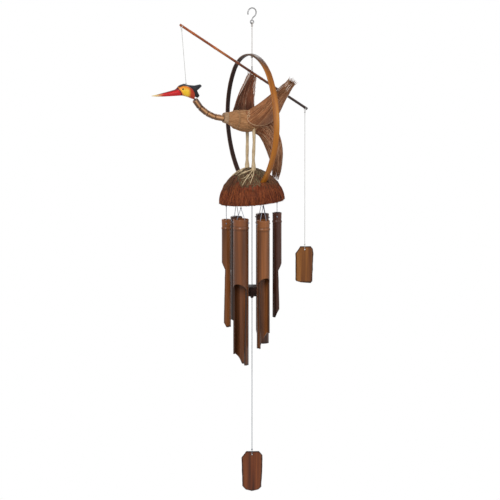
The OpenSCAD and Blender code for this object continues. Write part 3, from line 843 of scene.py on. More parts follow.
@dataclass(frozen=True)
class CharredFinish(Finish):
    """Rough wood that is nearly black, with worn brown spots."""

    black: Tone
    worn: Tone

    def grow(self, g: Graph) -> Material:
        """Grow its grit and its worn spots."""
        grit = g.noise(Grain.UPRIGHT, (420.0, 420.0, 420.0), 5.0, 0.7)
        worn = g.noise(Grain.UPRIGHT, (90.0, 90.0, 140.0), 3.0, 0.6, 0.4)
        colour = g.mix(g.spread(worn, 0.0, 0.8), self.black, self.worn)
        shade = g.ramp(grit, ((0.35, (0.35, 0.33, 0.32, 1)), (0.62, WHITE)))
        return g.finish(g.mix(0.7, colour, shade, "MULTIPLY"), g.spread(grit, 0.75, 0.5), grit, 0.5)


@dataclass(frozen=True)
class PaintFinish(Finish):
    """Hand paint over carved wood, by a colour on each point."""

    layer: str = "paint"

    def grow(self, g: Graph) -> Material:
        """Grow its brush marks over the painted colours."""
        brush = g.noise(Grain.UPRIGHT, (160.0, 420.0, 420.0), 4.0, 0.6)
        shade = g.ramp(brush, ((0.3, (0.72, 0.68, 0.66, 1)), (0.62, WHITE)))
        colour = g.mix(0.6, g.attribute(self.layer, "Color"), shade, "MULTIPLY")
        rough = g.spread(brush, 0.5, 0.3)
        return g.finish(colour, rough, brush, 0.1, Coat_Weight=0.08, Coat_Roughness=0.25)


@dataclass(frozen=True)
class WireFinish(Finish):
    """Drawn wire, dulled by handling."""

    bright: Tone
    dull: Tone

    def grow(self, g: Graph) -> Material:
        """Grow its scuffs."""
        scuffs = g.noise(Grain.UPRIGHT, (500.0, 500.0, 160.0), 4.0)
        colour = g.mix(g.spread(scuffs, 0.0, 1.0), self.bright, self.dull)
        return g.finish(colour, g.spread(scuffs, 0.3, 0.5), scuffs, 0.03, Metallic=1.0)


class Finishes:
    """The finishes that several pieces share."""

    wire = WireFinish("wire", (150, 150, 152), (96, 94, 92))
    pale_cord = CordFinish("pale_cord", (206, 200, 194), (158, 150, 144))
    thread = CordFinish("thread", (214, 214, 210), (168, 168, 166))
    grey_cord = CordFinish("grey_cord", (176, 182, 196), (120, 124, 136))
    slate_cord = CordFinish("slate_cord", (140, 150, 160), (96, 104, 112))
    dark_cord = CordFinish("dark_cord", (84, 62, 50), (46, 34, 28))
    hoop_skin = BambooFinish(
        "hoop_skin", (114, 62, 14), (168, 100, 24), (194, 130, 44), Grain.SURFACE,
        (26.0, 9.0, 1.0), (5.0, 3.0, 1.0), 0.4, 0.36, 0.12,
    )
    hoop_pith = BambooFinish(
        "hoop_pith", (38, 17, 12), (66, 30, 20), (98, 52, 34), Grain.SURFACE,
        (30.0, 7.0, 1.0), (6.0, 3.0, 1.0), 0.6, 0.55, 0.05,
    )
    pith = BambooFinish(
        "tube_pith", (84, 32, 12), (138, 62, 24), (164, 90, 42), fine=(520.0, 520.0, 9.0),
        streak=0.55, rough=0.55, coat=0.05,
    )
    # its light tone is also the colour of the beads' painted highlight streaks
    bead = BambooFinish(
        "bead_bamboo", (100, 60, 26), (128, 82, 38), (206, 150, 98),
        fine=(260.0, 900.0, 260.0), broad=(40.0, 40.0, 40.0), streak=0.3, rough=0.22, coat=0.4,
    )
    striker = CharredFinish("charred_wood", (30, 14, 10), (62, 32, 22))
    twig = TwigFinish("twig", (150, 120, 84), (222, 202, 166))
    paint = PaintFinish("head_paint")


class Kit:
    """What every sub-assembly draws on: the joints' places, the solids and seeded chance."""

    def __init__(self, frame: dict[str, Any]) -> None:
        """Take the joints and the solids from the frame.

        Args:
            frame: What the frame holds.
        """
        self._at = {joint["name"]: Vector(joint["pos_m"]) / MM for joint in frame["joints"]}
        self.nodes: dict[str, Object] = frame["nodes"]
        self.chance = random.Random(SEED)

    def at(self, name: str) -> Vector:
        """The place of one joint, in millimetres."""
        return self._at[name].copy()


def hand_in(obj: Object, finishes: Sequence[Finish], body: str, slot: str, *nodes: str) -> Object:
    """Give a piece its finishes and its body, and hide the solids that it stands for.

    Args:
        obj: The finished mesh object.
        finishes: Its finishes in slot order.
        body: The body that it moves with.
        slot: The record's material slot; not used.
        *nodes: The solids that it replaces.

    Returns:
        The piece.
    """
    indices = [face.material_index for face in obj.data.polygons]
    obj.data.materials.clear()
    for finish in finishes:
        obj.data.materials.append(finish.material())
    for face, index in zip(obj.data.polygons, indices):
        face.material_index = min(index, len(finishes) - 1)
    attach(obj, body)
    if nodes:
        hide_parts(*nodes)
    LOG.info("%s: %d faces on %s", obj.name, len(obj.data.polygons), body)
    return obj


def redress(node: Object, finish: Finish) -> None:
    """Give a solid that stays its finish.

    Args:
        node: The solid.
        finish: Its finish.
    """
    for slot in node.material_slots:
        slot.material = finish.material()
    LOG.info("%s: kept", node.name)


@dataclass
class Studio:
    """Camera at the photograph's angle, soft light and a pale floor."""

    azimuth: float = -30.0
    elevation: float = 8.5
    distance: float = 20.0
    view_width: float = 1.0
    sensor: float = 36.0
    beside: float = -0.004
    below: float = 0.483
    floor_z: float = -1.25
    floor_r: float = 0.9
    ambient: float = 0.34
    lamps: Sequence[tuple[str, Triple, float, float]] = (
        ("key", (-0.9, 1.3, -2.6), 1.5, 66.0),
        ("fill", (2.2, 0.4, -2.0), 2.0, 28.0),
        ("back", (0.8, 1.8, 2.0), 1.4, 22.0),
    )

    def axes(self) -> tuple[Vector, Vector, Vector]:
        """The camera's own directions.

        Returns:
            Right, up and forward.
        """
        turn, rise = radians(self.azimuth), radians(self.elevation)
        level = Vector((-sin(turn), cos(turn), 0.0))
        right = Vector((cos(turn), sin(turn), 0.0))
        forward = level * cos(rise) - UP * sin(rise)
        return right, right.cross(forward), forward

    def build(self) -> None:
        """Set up the camera, the lamps, the world and the floor."""
        right, up, forward = self.axes()
        target = right * self.beside - up * self.below
        scene = bpy.context.scene
        scene.view_settings.view_transform = "Standard"
        lens = bpy.data.cameras.new("camera")
        lens.sensor_width = self.sensor
        lens.lens = self.sensor * self.distance / self.view_width
        lens.clip_end = 100.0
        camera = bpy.data.objects.new("camera", lens)
        camera.location = target - forward * self.distance
        camera.rotation_euler = forward.to_track_quat("-Z", "Y").to_euler()
        scene.collection.objects.link(camera)
        scene.camera = camera
        for name, (aside, above, ahead), size, power in self.lamps:
            at = target + right * aside + up * above + forward * ahead
            self.lamp(name, at, target, size, power)
        self.world()
        self.floor()

    def lamp(self, name: str, at: Vector, target: Vector, size: float, power: float) -> None:
        """Add one soft square lamp.

        Args:
            name: Its name.
            at: Where it stands.
            target: What it faces.
            size: Its side in metres.
            power: Its power in watts.
        """
        light = bpy.data.lights.new(name, "AREA")
        light.size = size
        light.energy = power
        obj = bpy.data.objects.new(name, light)
        obj.location = at
        obj.rotation_euler = (target - at).to_track_quat("-Z", "Y").to_euler()
        bpy.context.scene.collection.objects.link(obj)

    def world(self) -> None:
        """White behind the object, and an even light round it."""
        world = bpy.data.worlds.new("studio")
        bpy.context.scene.world = world
        world.use_nodes = True
        nodes, links = world.node_tree.nodes, world.node_tree.links
        path = nodes.new("ShaderNodeLightPath")
        seen = path.outputs["Is Camera Ray"]
        for ray in ("Is Glossy Ray", "Is Transmission Ray"):
            both = nodes.new("ShaderNodeMath")
            both.operation = "MAXIMUM"
            links.new(seen, both.inputs[0])
            links.new(path.outputs[ray], both.inputs[1])
            seen = both.outputs[0]
        level = nodes.new("ShaderNodeMapRange")
        level.inputs["To Min"].default_value = self.ambient
        level.inputs["To Max"].default_value = 1.0
        links.new(seen, level.inputs["Value"])
        backdrop = nodes["Background"]
        backdrop.inputs["Color"].default_value = WHITE
        links.new(level.outputs["Result"], backdrop.inputs["Strength"])

    def floor(self) -> None:
        """A round pale floor below the hanging chime."""
        bpy.ops.object.select_all(action="DESELECT")
        bpy.ops.mesh.primitive_circle_add(
            vertices=96, radius=self.floor_r, fill_type="NGON", location=(0, 0, self.floor_z)
        )
        floor = take("studio_floor")
        bpy.ops.object.transform_apply(location=True)
        g = Graph("pale_floor")
        specks = g.noise(Grain.UPRIGHT, (30.0, 30.0, 30.0), 3.0)
        colour = g.mix(g.spread(specks, 0.0, 1.0), (0.82, 0.82, 0.81, 1), (0.86, 0.86, 0.85, 1))
        floor.data.materials.append(g.finish(colour, 0.8, specks, 0.1))


def tie_down(
    rope: RopeWork, points: Points, finish: Finish, body: str, slot: str, lay: str, *nodes: str,
) -> None:
    """Args:
        rope: The empty piece of cord.
        points: Where it runs, in millimetres.
        finish: Its finish.
        body: The body that it moves with.
        slot: The record's material slot.
        lay: How it lies; not used.
        *nodes: The solids that it replaces.
    """
    path = [step * MM for step in rope.run(points)]
    piece = hand_in(rope.make(), [finish], body, slot, *nodes)


@dataclass
class HangingGear:
    """Hook, hanging cord, crown knot, and the cord and loop that carry the rod."""

    kit: Kit
    wire: float = 2.4
    cord: float = 1.8
    knot: float = 5.0
    thread: float = 1.2
    thread_knot: float = 3.2
    loop_len: float = 11.0
    loop_half: float = 4.25
    gap: float = 0.3

    def build(self) -> None:
        """Build and dress the pieces above the rod."""
        kit = self.kit
        redress(kit.nodes["hook"], Finishes.wire)
        bar, crown, pivot = kit.at("hanger_swing"), kit.at("chime_turn"), kit.at("rod_tilt")
        eye_r = self.wire / 2 + self.gap + self.cord / 2
        rope_top = bar - UP * (eye_r + self.cord)
        rope_foot = crown + UP * (self.knot / 2 + self.gap)
        tie_down(
            RopeWork("hanging_cord", self.cord), [rope_top, rope_foot], Finishes.pale_cord,
            "hanger", "cord", "taut", "hanger_cord",
        )
        eye = RopeWork("hanging_loop", self.cord)
        eye.run(circle(bar, eye_r, ASIDE, UP), closed=True)
        eye.knot(rope_top - UP * 0.4, self.knot, 0.6)
        hand_in(eye.make(), [Finishes.pale_cord], "hanger", "cord", "hanger_cord")
        under = RopeWork("crown_knot", self.cord)
        under.knot(crown, self.knot + 0.6)
        under.knot(crown, self.knot, 1.3)
        hand_in(under.make(), [Finishes.pale_cord], "turning_knot", "cord", "hoop_knot")
        short = RopeWork("pivot_cord_rope", self.cord)
        loop_top = pivot + UP * self.loop_len
        short.run([crown - UP * (self.knot / 2 + self.gap), loop_top + UP * (self.thread_knot / 2 + 0.2)])
        hand_in(short.make(), [Finishes.pale_cord], "frame", "cord", "pivot_cord")
        loop = self.sling("pivot_loop_cord", pivot, loop_top)
        hand_in(loop, [Finishes.dark_cord], "frame", "dark_cord", "pivot_loop")

    def sling(self, name: str, hole: Vector, meet: Vector) -> Object:
        """A loop of thread through a hole along Y, drawn together at a knot.

        Args:
            name: The piece's name.
            hole: The middle of the hole.
            meet: Where its two legs meet.

        Returns:
            The mesh object.
        """
        left, right = hole - ASIDE * self.loop_half, hole + ASIDE * self.loop_half
        rope = RopeWork(name, self.thread)
        legs = between(left, meet, 0.4), between(right, meet, 0.4)
        rope.run([meet, legs[0], left, hole, right, legs[1]], closed=True)
        rope.knot(meet, self.thread_knot)
        return rope.make()


@dataclass
class Hoop:
    """Split bamboo strip bent over the bird: two side arcs under a crown arc."""

    kit: Kit
    half_w: float = 100.0
    rise: float = 131.0
    side_r: float = 170.0
    thick: float = 4.0
    width_near: float = 13.0
    width_far: float = 8.5
    foot_drop: float = 264.0
    nodes_at: Numbers = (0.13, 0.39, 0.68, 0.9)
    far_dark: float = 0.85

    def __post_init__(self) -> None:
        """Work out the crown arc that meets both side arcs."""
        self.shift = self.side_r - self.half_w
        self.crown_r = (
            2 * self.side_r * self.half_w - self.half_w**2 - self.rise**2
        ) / (2 * (self.side_r - self.rise))
        self.crown_turn = atan2(self.rise - self.crown_r, self.shift)
        self.foot_turn = asin((self.foot_drop - self.rise) / self.side_r)

    def centre_line(self, share: float) -> tuple[Vector, Vector]:
        """The strip's middle line from the near foot over the crown to the far foot.

        Args:
            share: Place along the strip.

        Returns:
            The point below the crown and the direction out of the hoop.
        """
        side_len = self.side_r * (self.foot_turn + self.crown_turn)
        crown_len = self.crown_r * (pi - 2 * self.crown_turn)
        run = share * (2 * side_len + crown_len)
        if side_len <= run <= side_len + crown_len:
            turn = pi - self.crown_turn - (run - side_len) / self.crown_r
            out = Vector((0, cos(turn), sin(turn)))
            return Vector((0, 0, -self.crown_r)) + out * (self.crown_r - self.thick / 2), out
        near = run < side_len
        turn = (run if near else 2 * side_len + crown_len - run) / self.side_r - self.foot_turn
        out = Vector((0, -cos(turn) if near else cos(turn), sin(turn)))
        middle = Vector((0, self.shift if near else -self.shift, -self.rise))
        return middle + out * (self.side_r - self.thick / 2), out

    def build(self) -> None:
        """Bend the strip and dress its skin and its pith."""
        crown_z = self.kit.at("frame_sway").z + self.thick / 2

        def place(u: float, v: float) -> Vector:
            """A point of the strip's rounded section.

            Args:
                u: Share round the section.
                v: Share along the strip.

            Returns:
                The point.
            """
            middle, out = self.centre_line(v)
            share = (middle.y + self.half_w) / (2 * self.half_w)
            width = between(self.width_near, self.width_far, share) / 2
            turn = tau * u
            c, s = cos(turn), sin(turn)
            ring = sum(exp(-((v - at) / 0.006) ** 2) for at in self.nodes_at)
            across = copysign(abs(c) ** 0.36, c) * width
            deep = copysign(abs(s) ** 0.4, s) * (self.thick / 2 + (0.45 * ring if s > 0 else 0.0))
            return middle + Vector((across, 0, crown_z)) + out * deep

        def scorch(point: Vector) -> float:
            """How dark the flame left a place: the crown and the far half."""
            near_flank = point.y < 0 and point.z < crown_z - self.rise
            return 0.0 if near_flank else self.far_dark * ease(-72, -30, point.y)

        strip = drape("hoop_strip", 28, 190, place)
        heart = Vector((0, 0, crown_z - 120)) * MM
        for face in strip.data.polygons:
            outward = face.center - heart
            outward.x = 0
            flat = abs(face.normal.x) < 0.75
            face.material_index = 1 if flat and face.normal.dot(outward) < 0 else 0
        roughen(strip, 0.35, 24)
        smooth(strip, 50)
        mark(strip, "scorch", scorch)
        hand_in(strip, [Finishes.hoop_skin, Finishes.hoop_pith], "frame", "hoop_bamboo", "hoop")


@dataclass
class CoconutCap:
    """Half coconut: a woven crown, a skirt of husk fibre and a hollow inside."""

    kit: Kit
    rim_z: float = -389.464
    radius: float = 64.0
    height: float = 67.0
    wall: float = 9.0
    fullness: float = 1.85
    tilt: float = 4.0
    tilt_to: float = -30.0
    hole_r: float = 2.1
    recess_r: float = 4.6
    recess: float = 5.0
    ridges: int = 14
    ridge_h: float = 1.4
    ridge_half: float = 4.03
    husk_top: float = 34.0
    fringe_drop: float = 90.0
    patch_to: float = -120.0
    patch_off: float = 15.0
    patch_long: float = 39.0
    patch_wide: float = 30.0
    fibres: int = 3400
    weave: int = 620

    def __post_init__(self) -> None:
        """Work out the turn that tilts the cap."""
        side = radians(self.tilt_to)
        axis = Vector((sin(side), -cos(side), 0))
        self.turn = Matrix.Rotation(radians(self.tilt), 3, axis)

    def standing(self, point: Vector) -> Vector:
        """Carry a point of the upright cap to the tilted one."""
        return self.turn @ point + Vector((0, 0, self.rim_z))

    def upright(self, point: Vector) -> Vector:
        """Carry a point of the standing chime back to the upright cap."""
        return self.turn.inverted() @ (point - Vector((0, 0, self.rim_z)))

    def dome(self, reach: float) -> float:
        """Height of the dome above the rim at a distance from its axis."""
        share = min(1.0, reach / self.radius)
        return self.height * (1 - share**self.fullness) ** (1 / self.fullness)

    def meridian(self, share: float) -> tuple[float, float]:
        """Reach and height of the dome from the rim, 0, to the top, 1."""
        turn, power = share * pi / 2, 2 / self.fullness
        return self.radius * max(0.0, cos(turn)) ** power, self.height * sin(turn) ** power

    def relief(self, angle: float, high: float) -> float:
        """Height of the combed ridges and of the husk's upper edge over the dome.

        Args:
            angle: Direction round the axis, in radians.
            high: Height above the rim.

        Returns:
            The height.
        """
        step = 360 / self.ridges
        off = abs((degrees(angle) + step / 2) % step - step / 2)
        comb = (1 - ease(self.ridge_half - 1.2, self.ridge_half + 1.2, off)) * (
            1 - ease(self.husk_top - 12, self.husk_top, high)
        )
        return self.ridge_h * max(comb, 1 - ease(0.3, 2.6, abs(high - self.husk_top)))

    def patch_edge(self, angle: float) -> float:
        """Share of the dome at which the woven patch ends in a direction.

        Args:
            angle: The direction, in radians.

        Returns:
            The share.
        """
        turn = angle - radians(self.patch_to)
        along, aside = cos(turn) / self.patch_long, sin(turn) / self.patch_wide
        off = self.patch_off / self.patch_long
        square = along**2 + aside**2
        reach = (off * along + sqrt((off * along) ** 2 - square * (off**2 - 1))) / square
        return acos((reach / self.radius) ** (self.fullness / 2)) * 2 / pi

    def over(self, angle: float, share: float, lift: float) -> Vector:
        """A point above the dome's skin, on the tilted cap.

        Args:
            angle: Direction round the axis, in radians.
            share: Place from the rim to the top; below 0 it hangs under the rim.
            lift: Distance off the skin.

        Returns:
            The point.
        """
        reach, high = self.meridian(max(0.0, share))
        lift += self.relief(angle, high)
        if share < 0:
            high = share * self.fringe_drop
        slope = max(0.0, share) * pi / 2
        reach += lift * cos(slope)
        high += lift * sin(slope)
        return self.standing(Vector((reach * cos(angle), reach * sin(angle), high)))

    def build(self) -> None:
        """Build the shell, the skirt and the woven crown."""

        def place(u: float, v: float) -> Vector:
            """A point of the shell's outer face.

            Args:
                u: Share of a turn.
                v: Share from the rim to the hole.

            Returns:
                The point.
            """
            last = 1 - 2 * self.hole_r / (pi * self.radius)
            reach, high = self.meridian(v**0.9 * last)
            reach = max(self.hole_r, reach)
            turn = tau * u
            reach += self.relief(turn, high) * (1 - ease(40, 50, high))
            high -= self.recess * (1 - ease(self.recess_r - 1.2, self.recess_r + 0.6, reach))
            return self.standing(Vector((reach * cos(turn), reach * sin(turn), high)))

        shell = drape("husk_shell", 168, 48, place)
        face_out(shell, lambda at: Vector((0, 0, self.rim_z * MM)))
        roughen(shell, 0.8, 7)
        modify(
            shell, "SOLIDIFY", thickness=self.wall * MM, offset=-1.0, use_even_offset=False,
            material_offset=1, material_offset_rim=1,
        )
        smooth(shell, 60)
        skin = FibreFinish(
            "husk_skin", (52, 20, 10), (110, 48, 23), (154, 82, 44), (190.0, 5.0, 1.0), 0.8
        )
        hollow = FibreFinish(
            "shell_hollow", (26, 14, 10), (54, 30, 20), (84, 52, 36), (70.0, 30.0, 1.0), 0.4
        )
        hand_in(shell, [skin, hollow], "frame", "husk", "coconut_cap")
        self.skirt()
        self.crown()

    def skirt(self) -> None:
        """Comb husk fibre down the flanks to a ragged rim."""
        chance = self.kit.chance
        skirt, upper = Strands("husk_fibres", 0.75), Strands("upper_husk_fibres", 0.75)
        for _ in range(self.fibres):
            angle = chance.uniform(0, tau)
            edge = self.patch_edge(angle)
            top = chance.choice((chance.uniform(0.75, 1.02) * edge, chance.uniform(0.12, 0.8) * edge))
            foot = max(chance.uniform(-0.015, 0.012), top - chance.uniform(0.16, 0.34))
            drift = chance.gauss(0, 0.04)
            lift = chance.uniform(0.0, 0.7)
            flare = chance.uniform(0.0, 0.6)
            bundle = upper if top - foot > 0.05 and (top + foot) / 2 > 0.36 else skirt
            row = []
            for s in FIBRE_STEPS:
                off = lift + flare * s * s - 0.6 * (s == 0)
                row.append(self.over(angle + drift * s * s, between(top, foot, s), off))
            bundle.lay(row, chance.uniform(0.5, 1.25))
        red = StrandFinish("husk_fibre", (66, 27, 12), (118, 54, 26), (164, 92, 48))
        brown = StrandFinish("upper_husk_fibre", (46, 26, 16), (88, 54, 34), (134, 96, 64))
        hand_in(skirt.make(), [red], "frame", "husk", "coconut_cap")
        hand_in(upper.make(), [brown], "frame", "husk", "coconut_cap")

    def crown(self) -> None:
        """Lay crossing grey-brown fibre over the crown."""
        chance = self.kit.chance
        bundle = Strands("crown_weave", 1.0)
        way_to = radians(self.patch_to)
        along = Vector((cos(way_to), sin(way_to)))
        aside = Vector((-sin(way_to), cos(way_to)))
        for _ in range(self.weave):
            angle = chance.uniform(0, tau)
            reach = sqrt(chance.uniform(0.0, 1.0))
            heart = along * (self.patch_off + self.patch_long * reach * cos(angle))
            heart += aside * (self.patch_wide * reach * sin(angle))
            way = way_to + chance.choice((0.8, -0.8, 0.1)) + chance.gauss(0, 0.3)
            half = chance.uniform(4, 9)
            lift = chance.uniform(0.2, 1.3)
            row = []
            for s in (-1.0, -0.5, 0.0, 0.5, 1.0):
                x = heart.x + s * half * cos(way + 0.25 * s)
                y = heart.y + s * half * sin(way + 0.25 * s)
                far = min(self.radius - 1, max(self.recess_r + 1.5, hypot(x, y)))
                near = far / max(0.01, hypot(x, y))
                high = self.dome(far)
                swell = lift * (1 - s * s) + self.relief(atan2(y, x), high)
                row.append(self.standing(Vector((x * near, y * near, high + swell))))
            bundle.lay(row, chance.uniform(0.6, 1.2), 0.7)
        finish = StrandFinish("crown_fibre", (54, 40, 28), (98, 80, 56), (144, 124, 92))
        hand_in(bundle.make(), [finish], "frame", "husk", "coconut_cap")


@dataclass
class Wing:
    """One sheath wing, drawn by its four edges from the stitched root to the ragged tip."""

    kit: Kit
    side: Side
    node: str
    sheath: FibreFinish
    strand: StrandFinish
    root: Sequence[Triple]
    tip: Sequence[Triple]
    front: Sequence[Triple]
    rear: Sequence[Triple]
    belly: float
    run_on: float = 90.0
    # strength of the painted shade at the wing's base, next to the body
    base_dark: float = 0.0
    tip_dark: float = 0.0
    thick: float = 1.5
    fibres: int = 420
    tuft: int = 120
    fringe: int = 0
    fringe_w: float = 0.3
    fringe_from: float = 0.4

    def edges(self) -> list[list[Vector]]:
        """The four edges as rows of points that share their corners.

        Returns:
            Root, tip, front and rear rows.
        """
        root, tip = [Vector(p) for p in self.root], [Vector(p) for p in self.tip]
        front = [root[0], *(Vector(p) for p in self.front), tip[0]]
        rear = [root[-1], *(Vector(p) for p in self.rear), tip[-1]]
        return [root, tip, front, rear]

    def at(self, across: float, along: float, lift: float = 0.0) -> Vector:
        """A point of the wing.

        Args:
            across: Share from the front edge to the rear edge.
            along: Share from the root to the tip; past 1 it runs on.
            lift: Distance off the sheet, outwards.

        Returns:
            The point.
        """
        root, tip, front, rear = self.edges()
        t, c = min(1.0, along), across
        sheet = (
            through(root, c) * (1 - t) + through(tip, c) * t
            + through(front, t) * (1 - c) + through(rear, t) * c
            - (root[0] * (1 - t) + tip[0] * t) * (1 - c) - (root[-1] * (1 - t) + tip[-1] * t) * c
        )
        out = Vector((-0.35, 0.85 * self.side.value, 0.25)).normalized()
        swell = self.belly * sin(pi * c) * sin(pi * t) ** 0.8
        if along > 1:
            sheet += (tip[0] - root[len(root) // 2]).normalized() * (along - 1) * self.run_on
        return sheet + out * (swell + lift)

    def shade(self, point: Vector) -> float:
        """Painted shade at the sheath's base, next to the body, and how far its tip has darkened."""
        base = self.base_dark * (1 - ease(-214, -184, point.z))
        return base + self.tip_dark * ease(-190, -158, point.z)

    def build(self) -> None:
        """Build the sheet, its strands, its ragged tip and its fringe."""
        chance = self.kit.chance
        seed = 3.0 * self.side.value

        def place(u: float, v: float) -> Vector:
            """A point of the uneven sheet.

            Args:
                u: Share across the wing.
                v: Share along it.

            Returns:
                The point.
            """
            ripple = noise.noise(Vector((u * 9, v * 3, seed))) * 0.9
            ragged = 0.08 * noise.noise(Vector((u * 14, seed, 0))) * ease(0.7, 1.0, v)
            return self.at(u, v + ragged if v > 0.7 else v, ripple)

        sheet = drape(self.node + "_sheath", 44, 56, place)
        modify(sheet, "SOLIDIFY", thickness=self.thick * MM, offset=0.0)
        smooth(sheet, 60)
        mark(sheet, "shade", self.shade)
        hand_in(sheet, [self.sheath], "frame", "wing_fibre", self.node)
        bundle = Strands(self.node + "_strands", 0.75)
        for _ in range(self.fibres):
            across = chance.uniform(0.01, 0.99)
            start = chance.uniform(0.0, 0.65)
            end = min(1.02, start + chance.uniform(0.2, 0.5))
            lift = chance.choice((-1, 1)) * chance.uniform(0.6, 1.2)
            drift = chance.gauss(0, 0.02)
            bundle.lay(
                [self.at(clamp(across + drift * s), between(start, end, s), lift)
                 for s in FIBRE_STEPS],
                chance.uniform(0.5, 1.1),
            )
        for _ in range(self.tuft):
            across = chance.uniform(0.0, 1.0)
            spray = Vector((chance.gauss(0, 1.6), chance.gauss(0, 1.6), chance.gauss(0, 1.6)))
            end = 1 + chance.uniform(0.0, 0.3) ** 2
            bundle.lay(
                [self.at(across, between(0.8, end, s), 0.5) + spray * s * s for s in STRAY_STEPS],
                chance.uniform(0.7, 1.3),
            )
        loose = bundle.make()
        mark(loose, "shade", self.shade)
        hand_in(loose, [self.strand], "frame", "wing_fibre", self.node)
        self.fray()

    def fray(self) -> None:
        """Add the pale strands that have come loose near both edges."""
        chance = self.kit.chance
        bundle = Strands(self.node + "_fringe", 0.9)
        tip = self.edges()[1]
        for n in range(self.fringe):
            edge = int(n % 6 == 5)
            start = chance.uniform(self.fringe_from, 0.9)
            end = min(1.03, start + chance.uniform(0.08, 0.2))
            wide = self.fringe_w * ease(self.fringe_from - 0.1, 0.9, start)
            across = abs(edge - chance.uniform(0.0, wide))
            lift = chance.choice((-1.5, 1.5))
            stray = (through(tip, edge) - through(tip, 0.5)).normalized() * chance.uniform(0.0, 2.2)
            bundle.lay(
                [self.at(across, between(start, end, s), lift) + stray * s * s for s in STRAY_STEPS],
                chance.uniform(0.7, 1.25),
            )
        pale = StrandFinish(self.node + "_fringe", (184, 150, 132), (224, 200, 186), (242, 228, 218))
        hand_in(bundle.make(), [pale], "frame", "wing_fibre", self.node)


